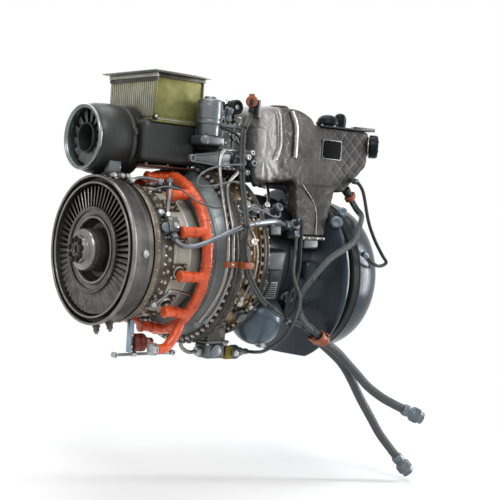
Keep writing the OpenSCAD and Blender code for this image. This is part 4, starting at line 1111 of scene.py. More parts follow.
class ENGINE_OT_intake(bpy.types.Operator):
    """Flared front bell, air openings with struts, rear dome and the flange at the drive end"""
    bl_idname = "engine.intake"
    bl_label = "Air intake"

    def execute(self, context):
        bell = Piece("intake_bell")
        flare = [(540 + 96 * t, 150 + 86 * t ** 3) for t in (k / 16 for k in range(17))]
        shells = [turned([(540.2, 30)] + flare + [(638, 236), (647, 236), (649.5, 233), (649.5, 30)],
            steps=160)]
        for x, r in ((560, 152.2), (636, 236.4)):
            shells.append(turned([(x, r - 3), (x, r + 0.2), (x + 1.5, r + 1.6), (x + 4, r + 1.6),
                (x + 5.5, r + 0.2), (x + 5.5, r - 3)], steps=160))
        # All are cut at the flat under the bell
        for shell in shells:
            cut_off(moved(shell, INTAKE_AXIS), (0, 0, -264.8), DOWN)
        closed_up(shells[0])
        for shell in shells:
            bell.put("blue_grey_satin_paint", shell)
        # Raised boss with rounded corners on the near side
        boss = INTAKE_AXIS @ radial(7)
        bell.put("blue_grey_satin_paint", block((548, -25, 150), (598, 25, 182), soft=14.0, segments=6),
            block((560, -14, 178), (586, 14, 184.5), soft=3.0), place=boss)
        bell.done("intake_dark", "intake_front_bell")

        # The core and struts in the air opening are near-black: painted shade of the deep opening
        core = Piece("intake_core_and_struts")
        core.put("black_anodised_and_painted_shade", turned([(650.2, 30), (650.2, 140), (656, 137), (670, 135),
            (684, 137), (689.8, 140), (689.8, 30)], steps=96),
            around(block((650.4, -4.8, 131), (689.6, 4.8, 197.5), soft=3.5, segments=3), 8, 22.5),
            place=INTAKE_AXIS)
        core.put("machined_flange_steel", turned([(655, 196), (655, 198), (657, 198), (657, 196)], steps=96,
            soft=0), place=INTAKE_AXIS)
        core.done("black", "intake_core")

        dome = Piece("intake_dome")
        curve = [(690 + 125 * t, 160 + 50 * math.sqrt(1 - t ** 3))
            for t in (0.0, 0.08, 0.16, 0.24, 0.32, 0.4, 0.48, 0.56, 0.64, 0.72, 0.79, 0.85, 0.9, 0.94, 0.97,
            0.99, 1.0)]
        # The front of the dome next to the opening and its front ring are near-black: painted shade
        dome.put("black_anodised_and_painted_shade", turned([(690.2, 30), (690.2, 206)] + curve[1:4], steps=160,
            closed=False), place=INTAKE_AXIS)
        dome.put("blue_grey_satin_paint", turned(curve[3:] + [(814.8, 30)], steps=160, closed=False),
            place=INTAKE_AXIS)
        dome.put("black_anodised_and_painted_shade", turned([(691, 205), (691, 209), (693, 210.4), (711, 210.4),
            (713, 212), (717, 212), (719, 209.5), (719, 205)], steps=160), place=INTAKE_AXIS)
        dome.put("straw_plated_bolt", around(bolt((815, 0, 148), REAR, 4.5, 5.0), 24), place=INTAKE_AXIS)
        dome.put("machined_flange_steel", turned([(814, 100), (814, 138), (817, 139), (819, 137),
            (819, 100)], steps=96), place=INTAKE_AXIS)
        dome.done("intake_dark", "intake_rear_dome")

        drive = Piece("drive_end_flange")
        holes = 8
        drive.put("grey_cast_aluminium", turned([(815, 30), (815, 78), (819, 78), (822, 75.5), (834, 75.5),
            (839, 78), (840, 78), (840, 75)], steps=96, closed=False),
            around(plate([(815, 74), (815, 96), (839.8, 76), (839.8, 74)], 5.0), holes))
        drive.put("machined_flange_steel", turned([(840.2, 40), (840.2, 102), (842, 104), (857, 104),
            (859, 102.5), (860, 101), (860, 62), (856, 60), (856, 40)], steps=128))
        drive.put("black_anodised_and_painted_shade", turned([(846, 0), (846, 41), (858, 41), (858, 30), (850, 28),
            (850, 0)], steps=64))
        eye = turned([(839.6, 5.6), (839.6, 8.0), (860, 8.0), (860, 5.6)], steps=20, soft=0)
        eye = moved(eye, Matrix.Translation((0, 0, 90)))
        drive.put("black_anodised_and_painted_shade", around(eye, holes, 22.5))
        drive.done("flange_grey", "drive_flange")
        return {"FINISHED"}


class ENGINE_OT_fan(bpy.types.Operator):
    """Cooling fan: housing with its spun lip, saddle bracket and the bladed rotor"""
    bl_idname = "engine.fan"
    bl_label = "Cooling fan"

    def execute(self, context):
        house = Piece("fan_barrel")
        house.put("dark_fan_paint", turned([(0.2, 71), (0.2, 76), (5, 79.5), (12, 82.6), (22, 85.4),
            (34, 86.8), (48, 87), (62, 86.6), (76, 85.4), (84, 84.4), (85, 83.2), (88, 83.2), (89, 84.4),
            (99.8, 84), (99.8, 9), (80, 9), (80, 71)], steps=128), place=FAN_AXIS)
        # Latch of the strap around the barrel
        house.put("gunmetal_blasted_steel", turned([(90, 84), (90, 85.6), (91, 86.2), (97, 86.2),
            (98, 85.6), (98, 84)], steps=128), place=FAN_AXIS)
        latch = FAN_AXIS @ radial(14, 94)
        house.put("gunmetal_blasted_steel", block((-6, -9, 85), (6, 9, 90), soft=1.5), place=latch)
        # Stator vanes inside, behind the rotor, near-black as painted shade
        house.put("soot_and_painted_shade_steel", around(block((60, -1.2, 20), (79, 1.2, 71), soft=0.6, segments=1), 9,
            8.0), turned([(58, 0), (58, 22), (61, 25), (80, 25), (80, 0)], steps=48), place=FAN_AXIS)
        house.done("fan_grey", "fan_housing")

        lip = Piece("fan_inlet_lip")
        lip.put("spun_bright_aluminium", turned([(9, 69.2), (0, 69.4), (-3.4, 70.2), (-5.6, 71.6),
            (-6.2, 72.8), (-5.4, 74.0), (-5.4, 74.6), (-7, 75.2), (-8, 77), (-7.4, 78.6), (-5, 79.6),
            (0, 79.4), (0, 74), (9, 71.5)], steps=128, soft=0.5), place=FAN_AXIS)
        lip.done("lip_silver", "fan_lip")

        bracket = Piece("fan_saddle")
        bracket.put("dark_fan_paint", block((32, 40.5, 171.6), (55, 69.5, 178), soft=1.5),
            block((36, 44, 175), (51, 66, 181.5), soft=1.5))
        # Drain box and unions in front of the saddle
        bracket.put("grey_painted_sheet", block((32, -14, 186), (66, 10, 216), soft=3.0))
        bracket.put("dark_fan_paint", block((28, -16, 179), (70, 14, 187), soft=1.5))
        for x, y in ((34, -22), (58, -20), (78, -14)):
            bracket.put("zinc_plated_nut", nut((x, y, 179), (0.2, -1, 0.1), 7.0, 14.0))
            bracket.put("bright_drawn_tube", stud((x, y + 2, 179), (x, y + 20, 180), 4.5))
        bracket.done("fan_grey", "fan_bracket")

        rotor = Piece("fan_wheel")
        rotor.put("dark_fan_paint", turned([(44, 0), (44, 27), (42, 32.8), (5, 33.2), (3.5, 34), (3, 35),
            (3.5, 36), (5, 36.6), (51, 36.6), (52, 35.5), (52, 8), (98, 8), (98, 0)], steps=80),
            place=FAN_AXIS)
        rotor.put("machined_flange_steel", turned([(43.8, 0), (40, 0.1), (40, 8), (42, 10), (43.8, 10)],
            steps=32, closed=False), place=FAN_AXIS)
        rotor.put("grey_fan_blades", around(vane(22, 12, 54, 4.0, 35, 30.5, 2.2), 14), place=FAN_AXIS)
        rotor.done("fan_grey", "fan_rotor", body="cooling_fan")
        return {"FINISHED"}


class ENGINE_OT_cooler(bpy.types.Operator):
    """Air duct behind the fan, ribbed oil cooler and its plates"""
    bl_idname = "engine.cooler"
    bl_label = "Duct and oil cooler"

    def execute(self, context):
        duct = Piece("fan_air_duct")
        duct.put("dark_fan_paint", block((100.2, -55, 216), (259.8, 143, 321.6), soft=16.0, segments=5))
        duct.put("olive_wire_mesh", block((122, -56, 316), (259.8, 144, 321.8), soft=1.5))
        duct.put("dark_fan_paint", turned([(100.2, 60), (100.2, 86), (118, 86), (121, 83), (121, 60)],
            steps=96), place=FAN_AXIS)
        # A dull red sheet hung under the duct on studs: painted shade in the gap above the manifold
        duct.put("dull_red_valve_and_shade_sheet", block((108, -50, 208.5), (252, 138, 211), soft=1.0))
        for x, y in ((116, -44), (244, -44), (180, -44), (116, 130), (244, 130)):
            duct.put("gunmetal_blasted_steel", stud((x, y, 210), (x, y, 217), 4.0, steps=16))
        duct.put("dark_fan_paint", block((258, 5, 236), (295.8, 85, 292), soft=8.0, segments=3))
        duct.done("fan_grey", "fan_duct")

        core = Piece("oil_cooler_core")
        core.put("olive_wire_mesh", block((128, -52, 326.2), (271, 143, 434.8), soft=1.0))
        pitch = context.scene.engine_sizes.fin_pitch / MM
        ribs = int(196 / pitch)
        for k in range(ribs):
            y = -54 + (k + 0.5) * 196 / ribs
            core.put("pale_finned_aluminium", stud((127.5, y, 329), (127.5, y, 432), 2.5, steps=10,
                soft=0.6))
        core.put("olive_wire_mesh", block((126.6, -54.6, 326.2), (130, 143, 434.8), soft=0.6))
        # Pale bar and dark clip strip under the top plate
        core.put("pale_finned_aluminium", block((122, -57, 424), (130, 145, 434.9), soft=1.2))
        core.put("machined_flange_steel", block((123.4, -56, 415), (130, 144, 423.6), soft=1.0),
            block((128, -57, 425), (274, -50, 434.9), soft=1.2))
        # Frame around the near face
        for lo, hi in (((125, -55, 326.1), (129, -51, 434.9)), ((267.5, -55, 326.1), (271, -51, 434.9)),
                ((125, -55, 326.1), (271, -50.5, 330)), ((125, -55, 431), (271, -50.5, 434.9))):
            core.put("olive_wire_mesh", block(lo, hi, soft=0.8))
        core.done("cooler_olive", "oil_cooler")

        rails = Piece("cooler_plates")
        rails.put("pale_finned_aluminium", block((125, -55, 322.1), (271, 143, 325.9), soft=0.8))
        rails.put("spun_bright_aluminium", block((109, -71, 436.2), (287, 159, 439), soft=0.7))
        rails.put("pale_finned_aluminium", block((114, -66, 435.1), (282, 154, 436.6), soft=0.5))
        rails.put("black_anodised_and_painted_shade", block((122, -60, 320), (131, -50, 334), soft=1.0))
        rails.put("zinc_plated_nut", bolt((126, -60, 329), NEAR, 3.0, 3.5))
        rails.done("lip_silver", "cooler_frame")
        return {"FINISHED"}


class ENGINE_OT_gearbox(bpy.types.Operator):
    """Cast gearbox with its arm, oil filter, filter head and cable connector"""
    bl_idname = "engine.gearbox"
    bl_label = "Accessory gearbox"

    def execute(self, context):
        case = Piece("gearbox_casting")
        case.put("grey_cast_aluminium", block((300, -91, 219), (391, 86, 326), soft=9.0, segments=4))
        for lo, hi in (((296.2, -95, 215.2), (394.8, 90, 223)), ((296.2, -95, 321), (394.8, 90, 329.8)),
                ((340, -94, 216), (347, 89, 329)), ((296.2, -94, 262), (394.8, 89, 268))):
            case.put("grey_cast_aluminium", block(lo, hi, soft=2.0))
        for x, z, r in ((318, 244, 17), (372, 244, 20), (318, 296, 19), (370, 296, 17)):
            cover = toward((x, -90, z), NEAR)
            case.put("grey_cast_aluminium", turned([(0, 0), (0, r), (3.5, r), (4.5, r - 1.5),
                (4.5, r * 0.55), (2.5, r * 0.5), (2.5, 0)], steps=40), place=cover)
            case.put("straw_plated_bolt", around(bolt((4.5, 0, r * 0.78), REAR, 2.2, 2.2), 6), place=cover)
        for x in range(304, 394, 15):
            case.put("straw_plated_bolt", bolt((x, -88, 329.8), UP, 3.0, 3.5),
                bolt((x, -95, 219), NEAR, 2.6, 3.0))
        case.done("cast_grey", "accessory_gearbox")

        arm = Piece("gearbox_lug_arm")
        arm.put("grey_cast_aluminium", plate([(199.5, 235), (203, 228), (210, 225.5), (300, 221),
            (330, 221), (330, 261), (300, 260), (214, 244.6), (204, 243.5)], 7.0, soft=1.5),
            place=Matrix.Translation((0, -104, 0)))
        for x0, z0, x1, z1 in ((212, 227, 300, 223), (214, 243, 330, 259), (300, 222, 300, 259)):
            arm.put("grey_cast_aluminium", pipe([(x0, -105.5, z0), ((x0 + x1) / 2, -105.5, (z0 + z1) / 2),
                (x1, -105.5, z1)], 2.6, steps=2))
        arm.put("grey_cast_aluminium", turned([(-12, 5), (-12, 8.8), (-11, 9.8), (-1, 9.8), (0, 8.8),
            (0, 5)], steps=36), place=toward((209, -107, 235), NEAR))
        arm.done("cast_grey", "gearbox_arm")

        head = Piece("oil_filter_head")
        head.put("satin_filter_alloy", block((232.2, -119.8, 270.2), (295.8, -60.2, 293.8), soft=6.0,
            segments=3))
        head.put("satin_filter_alloy", turned([(0, 0), (0, 11), (5, 11), (6, 8.5), (12, 8.5), (12, 0)],
            steps=28), place=toward((238, -112, 282), (-0.7, -0.72, 0)))
        for x in (240, 288):
            head.put("zinc_plated_nut", bolt((x, -119.5, 276), NEAR, 3.0, 3.0))
        head.done("filter_blue", "filter_head")

        bowl = Piece("oil_filter_bowl")
        upright = toward((263, -92, 294), UP)
        bowl.put("satin_filter_alloy", turned([(0.2, 0), (0.2, 27.5), (27, 28), (28.8, 30.8), (32, 31),
            (36, 31), (37.5, 29.6), (40, 29.6), (41.5, 31), (84, 31), (87, 29), (88.5, 25), (88.5, 15.5),
            (94, 15), (96, 13), (96, 0)], steps=72), place=upright)
        bowl.put("zinc_plated_nut", turned([(92, 0), (92, 6), (95.8, 6), (95.8, 0)], steps=6, soft=0),
            place=upright)
        bowl.put("satin_filter_alloy", around(block((66, -4, 30.2), (76, 4, 31.9), soft=0.8), 8),
            place=upright)
        bowl.done("filter_blue", "oil_filter")

        socket = Piece("gearbox_cable_socket")
        upright = toward((352, -60, 330), UP)
        socket.put("black_anodised_and_painted_shade", turned([(0.2, 0), (0.2, 17.5), (4, 18), (12, 17), (14, 13.5),
            (34, 13.5), (36, 16), (52, 17.5), (60, 14), (61, 0)], steps=44), place=upright)
        nose = toward((352, -60, 374), NEAR)
        socket.put("black_anodised_and_painted_shade", turned([(0, 0), (0, 16), (12, 16.5), (14, 18), (33, 18),
            (33.8, 16.8), (33.8, 13), (29, 12), (29, 0)], steps=48),
            around(block((16, -1.1, 17.2), (32, 1.1, 18.6), soft=0.4, segments=1), 28), place=nose)
        socket.put("zinc_plated_nut", turned([(29, 0), (29.3, 6), (31.5, 6.2), (31.5, 0)], steps=24),
            place=nose)
        socket.put("cream_ceramic", nut((336, -74, 334), UP, 8.0, 14.0))
        socket.put("zinc_plated_nut", nut((372, -80, 331), UP, 7.0, 20.0))
        socket.done("black", "gearbox_connector")
        return {"FINISHED"}


def segment_gap(x, z, line):
    """Distance of a point from a line of points in X and Z"""
    best = 1e9
    for (x0, z0), (x1, z1) in zip(line, line[1:]):
        dx, dz = x1 - x0, z1 - z0
        t = max(0.0, min(1.0, ((x - x0) * dx + (z - z0) * dz) / (dx * dx + dz * dz)))
        best = min(best, math.hypot(x - x0 - t * dx, z - z0 - t * dz))
    return best


# Tapes, creases and seams of the jacket's near side, in X and Z
STRIP_FRONT = [(451, 379), (464, 352), (470, 289), (459, 250)]
STRIP_REAR = [(503, 380), (521, 346), (524, 307), (524, 262)]
CREASE_FRONT = [(395, 325), (422, 323), (424, 262)]
LEG_SEAM = [(548, 200), (587, 138), (560, 66)]


def sewn_gap(x, z):
    """Distance to the nearest tape, crease or seam of the near side"""
    return min(segment_gap(x, z, line) for line in (STRIP_FRONT, STRIP_REAR, CREASE_FRONT, LEG_SEAM))


def quilt_lines(x, z, pitch):
    """Distance to the nearest seam of the diamonds, and how much of the quilting is there"""
    share = max(0.0, min(1.0, (x - 640 + (z - 240) * 0.25) / 60))
    turns = [(x * run + z * rise) / pitch for run, rise in QUILT_WAYS]
    return pitch * min(abs(t - round(t)) for t in turns), share


def jacket_seam_gap(x, z, pitch):
    """Distance to the nearest sewn line of the near side"""
    lines, share = quilt_lines(x, z, pitch)
    return min(sewn_gap(x, z), lines + (1 - share) * 1000)


def bell_radius(x):
    """Outside radius of the front bell at a station"""
    t = max(0.0, min(1.0, (x - 540) / 96))
    return 150 + 86 * t ** 3


def finer(carrier):
    """The mesh of an object after one finer step"""
    step = carrier.modifiers.new("finer", "SUBSURF")
    step.levels = step.render_levels = 1
    return evaluated(carrier)


def puffed(skin, seams, cap):
    """The skin after cloth under pressure has swelled it between its seams"""
    skin.transform(TO_FRAME)
    mesh = mesh_of(skin)
    start = [v.co.copy() for v in mesh.vertices]
    carrier = carried("puff", mesh)
    scene = bpy.context.scene
    carrier.vertex_groups.new(name="seams").add(seams, 1.0, "REPLACE")
    cloth = carrier.modifiers.new("puff", "CLOTH")
    cloth.settings.quality = 4
    cloth.settings.use_pressure = True
    cloth.settings.uniform_pressure_force = 4.0
    cloth.settings.effector_weights.gravity = 0.0
    cloth.settings.vertex_group_mass = "seams"
    cloth.point_cache.frame_start = 1
    cloth.point_cache.frame_end = 20
    for step in range(1, 21):
        scene.frame_set(step)
    result = finer(carrier)
    scene.frame_set(1)
    # No point moves more than the cap, which also holds the points that the finer skin adds
    carrier.modifiers.clear()
    for vertex, place in zip(mesh.vertices, start):
        vertex.co = place
    flat = finer(carrier)
    for vertex, held in zip(result.vertices, flat.vertices):
        move = vertex.co - held.co
        if move.length > cap * MM:
            vertex.co = held.co + move.normalized() * cap * MM
    drop(carrier)
    bpy.data.meshes.remove(flat)
    bm = poured(result)
    bm.transform(TO_FRAME.inverted())
    return outward(bm)


class ENGINE_OT_jacket(bpy.types.Operator):
    """Quilted foil jacket with its leg, tape strips and stitched seams"""
    bl_idname = "engine.jacket"
    bl_label = "Insulation jacket"

    def execute(self, context):
        sizes = context.scene.engine_sizes
        pitch, puff = sizes.quilt_pitch / MM, sizes.puff / MM
        outline = [(396, 196), (396, 376), (441, 386), (531, 388.5), (560, 382), (587, 371), (603, 351),
            (843, 356), (843, 296), (717.5, 180), (538, 180), (532, 202), (425, 192)]
        bag = plate(outline, 168.0, soft=0)
        bmesh.ops.translate(bag, vec=(0, -129, 0), verts=bag.verts)
        cut_off(bag, (799, -129, 0), (51, -45, 0))
        rounded(bag, bag.edges[:], 9.0, 3)
        leg = bmesh.new()
        bmesh.ops.create_cube(leg, size=1.0)
        for v in leg.verts:
            top = v.co.z > 0
            x0, x1, y0, y1 = (539, 690, -129, -71) if top else (505, 595, -189, -163)
            v.co = (x1 if v.co.x > 0 else x0, y1 if v.co.y > 0 else y0, 200 if top else 61)
        rounded(leg, leg.edges[:], 6.0, 3)
        skin = blended([closed_up(bag), closed_up(leg)], 5.0)
        smoothed(skin)
        skin.normal_update()
        for v in skin.verts:
            v.co -= v.normal * 1.5
        seams = [v.index for v in skin.verts
            if jacket_seam_gap(v.co.x, v.co.z, pitch) < 3.0 or v.co.y > 30 or v.co.z < 66]
        skin = puffed(skin, seams, 5.0)
        skin.normal_update()
        for v in skin.verts:
            x, y, z = v.co
            near = max(0.0, -v.normal.y)
            lines, share = quilt_lines(x, z, pitch)
            # Sewn lines pull in, the cloth between them swells
            lift = -1.6 * math.exp(-(sewn_gap(x, z) / 3.0) ** 2)
            lift += share * puff * (min(lines, pitch / 4) / (pitch / 4) - 0.7)
            # Long soft folds, and short sharp crumples on the front half and at the leg
            crumple = max(0.0, min(1.0, (560 - x) / 70)) + max(0.0, min(1.0, (200 - z) / 40))
            lift += noise.noise(v.co / 38.0) * 0.8
            ridge = 1 - abs(noise.noise(Vector((x / 20.0, y / 20.0, z / 26.0)))) * 3.2
            lift += min(1.0, crumple) * max(-0.4, ridge) * 0.6
            ridge = 1 - abs(noise.noise(Vector((x / 9.0, y / 9.0, z / 12.0 + 7.0)))) * 3.2
            lift += (0.2 + 0.8 * min(1.0, crumple)) * max(-0.3, ridge) * 0.25
            # Fan of folds where the front edge is gathered above its lower corner
            fold = math.exp(-((x - 440) / 55) ** 2 - ((z - 205) / 40) ** 2) * near
            angle = math.atan2(z - 262, x - 415)
            lift += fold * 2.0 * math.sin(angle * 15.0)
            v.co += v.normal * lift
        for v in skin.verts:
            # It keeps off the gearbox in front and off the bell below, and lies flat under its plate
            v.co.x = max(v.co.x, 395.4)
            if abs(v.co.x - 657) < 42 and abs(v.co.z - 293) < 32:
                v.co.y = max(v.co.y, -130.2)
            across = Vector((0.0, v.co.y, v.co.z + 48))
            room = bell_radius(v.co.x) + 2.0 if 538 < v.co.x < 652 else 172.0 if v.co.x <= 538 else 216.0
            if across.length < room:
                across = across.normalized() * room
                v.co.y, v.co.z = across.y, across.z - 48
        jacket = Piece("insulation_jacket_foil")
        jacket.put("aluminised_foil_cloth", skin)
        # Bright tape over two seams
        for line, wide in ((STRIP_FRONT, 2.2), (STRIP_REAR, 5.5)):
            path = smooth_path([(x, -131.0, z) for x, z in line], 8)
            tape = bmesh.new()
            rows = []
            for p in path:
                sway = noise.noise(p / 9.0) * 1.4
                rows.append([tape.verts.new((p.x + s * (wide + sway * s),
                    -131.6 - (1 - s * s) * 1.6 + noise.noise(p / 5.0 + Vector((s, 0, 0))) * 0.9, p.z))
                    for s in (-1.0, -0.4, 0.4, 1.0)])
            for a, b in zip(rows, rows[1:]):
                for k in range(3):
                    tape.faces.new((a[k], a[k + 1], b[k + 1], b[k]))
            bmesh.ops.solidify(outward(tape), geom=tape.faces[:], thickness=-1.6)
            jacket.put("foil_tape", closed_up(tape))
        # Welt along the seam of the leg
        jacket.put("foil_tape", pipe([(x, -133.5 - max(0, 178 - z) * 0.5, z) for x, z in LEG_SEAM], 1.5,
            steps=6, detail=2))
        # Fitting below the leg
        jacket.put("grey_cast_aluminium", block((508, -191, 52), (592, -162, 60.5), soft=2.5),
            block((522, -190, 30), (572, -168, 53), soft=5.0, segments=3))
        for x in (514, 534, 562, 586):
            jacket.put("straw_plated_bolt", bolt((x, -191, 56), NEAR, 3.0, 4.0))
        jacket.done("foil", "insulation_jacket", "jacket_leg", sharp=70.0)
        return {"FINISHED"}


class ENGINE_OT_jacket_fittings(bpy.types.Operator):
    """Caps of the jacket's openings and the plain data plate"""
    bl_idname = "engine.jacket_fittings"
    bl_label = "Jacket fittings"

    def execute(self, context):
        slope = Vector((0.9997, 0.0, 0.0248))
        rise = Vector((-0.0248, 0.0, 0.9997))
        seat = Vector((705, -60, 354.6))
        cap = Piece("top_filler_cap")
        place = toward(seat, rise)
        cap.put("slate_moulded_cap", turned([(0.3, 0), (0.3, 31), (4, 31), (5.5, 28.4), (9, 28), (11, 30.8),
            (18, 30.4), (27, 27.5), (34, 20.5), (37.5, 11), (38.5, 0)], steps=72),
            around(block((11.5, -1.5, 29.6), (18, 1.5, 31.4), soft=0.6), 24), place=place)
        knob = toward(seat + slope * 52 + Vector((0, 4, 0)), rise)
        cap.put("slate_moulded_cap", turned([(1, 0), (1, 19), (4, 19), (6, 16), (24, 18), (36, 16.5),
            (43, 12), (46, 6), (47, 0)], steps=44), place=knob)
        # Sheet ledge under the caps, with its turned edge
        ledge = Matrix.Translation(seat) @ Matrix.Rotation(-math.atan2(0.0248, 0.9997), 4, "Y")
        cap.put("black_anodised_and_painted_shade", block((-84, -64, -1.0), (124, 62, 3.2), soft=1.2), place=ledge)
        cap.put("machined_flange_steel", block((46, -64, 2.6), (124, -46, 8.4), soft=1.4), place=ledge)
        for x, y in ((-76, -56), (-30, -58), (40, -58), (116, -40), (116, 54), (-76, 54)):
            cap.put("zinc_plated_nut", bolt((x, y, 3.2), UP, 3.0, 3.0), place=ledge)
        lid = toward((503, -78, 386.5), (-0.03, 0, 1))
        cap.put("black_anodised_and_painted_shade", turned([(0.5, 0), (0.5, 27), (4, 27), (6, 24.5), (8, 22), (8, 0)],
            steps=60), place=lid)
        # Plate at the front edge that carries the harness clamp
        cap.put("grey_cast_aluminium", block((392, -127, 352), (400, -97, 396), soft=1.5))
        cap.done("cap_slate", "top_cap")

        side = Piece("side_blanking_cap")
        place = toward((817, -109.6, 316), (0.75, -0.66, 0))
        side.put("slate_moulded_cap", turned([(-4, 0), (-4, 22), (0.5, 22), (1, 19), (4, 19), (4, 31),
            (6, 32), (23, 32), (26.5, 29.5), (28, 25), (26, 22), (26, 0)], steps=72), place=place)
        side.put("black_anodised_and_painted_shade", around(stud((25.5, 0, 26.5), (28.6, 0, 26.5), 2.6, steps=12), 6),
            place=place)
        side.put("foil_tape", turned([(-2, 22), (-2, 27), (0.8, 27), (0.8, 22)], steps=60), place=place)
        side.done("cap_slate", "side_cap")

        label = Piece("blank_data_plate")
        label.put("grey_cast_aluminium", block((621, -131.8, 267), (693, -130, 319), soft=0.6))
        label.put("matt_black_plate", block((623, -132.3, 269), (691, -131, 317), soft=0.5))
        for x, z in ((625.5, 271.5), (688.5, 271.5), (625.5, 314.5), (688.5, 314.5)):
            label.put("zinc_plated_nut", ball((x, -132.2, z), 1.3, 2))
        label.done("black", "data_plate")
        return {"FINISHED"}


def union_ends(piece, route, r, finish, length=16.0):
    """Union nuts at both ends of a tube"""
    for a, b in ((route[0], route[1]), (route[-1], route[-2])):
        piece.put(finish, nut(a, Vector(b) - Vector(a), r * 1.75, length))


class ENGINE_OT_tubes(bpy.types.Operator):
    """Drawn tubes on the near side, their clip bar and the pipe across the engine"""
    bl_idname = "engine.tubes"
    bl_label = "Tubes and clips"

    def execute(self, context):
        cross = Piece("cross_pipe_line")
        cross.put("grey_drawn_tube", pipe(CROSS_ROUTE, 6.0))
        # Thicker sleeve over the middle of the run
        cross.put("grey_drawn_tube", pipe([(290, -250, 86), (330, -241, 90), (376, -230, 94),
            (410, -211, 92)], 7.4, steps=6))
        union_ends(cross, CROSS_ROUTE, 6.0, "grey_anodised_plug")
        cross.done("blue_grey", "cross_pipe", sharp=50.0)

        tubes = Piece("drawn_tube_set")
        for route in (TUBE_FRONT_ROUTE, TUBE_REAR_ROUTE, IGNITER_ROUTE):
            tubes.put("bright_drawn_tube", pipe(route, 4.5))
            union_ends(tubes, route, 4.5, "grey_drawn_tube", 13.0)
        tubes.done("steel_tube", "steel_tubes", sharp=50.0)

        far = Piece("far_side_tubes")
        for route, r, finish in ((FAR_TUBE_ROUTE, 6.0, "grey_drawn_tube"),
                (FAR_DRAIN_ROUTE, 4.5, "bright_drawn_tube")):
            far.put(finish, pipe(route, r))
            union_ends(far, route, r, "zinc_plated_nut")
        far.done("steel_tube", "far_tubes", sharp=50.0)

        clips = Piece("tube_clip_bar")
        clips.put("rust_silicone_clip", block((216, -251, -19.5), (288, -245.4, -6.5), soft=1.5),
            block((267, -245.6, -19.5), (287, -228.6, -6.5), soft=2.0))
        for x, y in ((225, -240), (241, -238.4)):
            clips.put("rust_silicone_clip", turned([(-6.5, 4.7), (-6.5, 7.2), (-5, 8.2), (5, 8.2),
                (6.5, 7.2), (6.5, 4.7)], steps=32), place=toward((x, y, -13), UP))
        clips.put("zinc_plated_nut", bolt((277, -251, -13), NEAR, 4.2, 5.0),
            bolt((233, -251, -13), NEAR, 3.4, 4.5))
        clips.put("rust_silicone_clip", turned([(-6, 6.2), (-6, 9.0), (-4.5, 10.2), (4.5, 10.2), (6, 9.0),
            (6, 6.2)], steps=32), place=toward((262, -252.4, 77), (64, 1, 16)))
        clips.put("rust_silicone_clip", block((251, -276, -21), (277, -250, -5), soft=3.0))
        clips.done("clip_orange", "tube_clips")
        return {"FINISHED"}


# A heading that points away from the near side, for runs that lie next to each other
SIDEWAYS = Vector((0.5, 0.85, 0.1))


def beside(route, steps, shift):
    """The curve of a route, moved off to one side"""
    path = smooth_path(route, steps)
    ahead, behind = path[1:] + path[-1:], path[:1] + path[:-1]
    return [p + (a - b).cross(SIDEWAYS).normalized() * shift for p, a, b in zip(path, ahead, behind)]


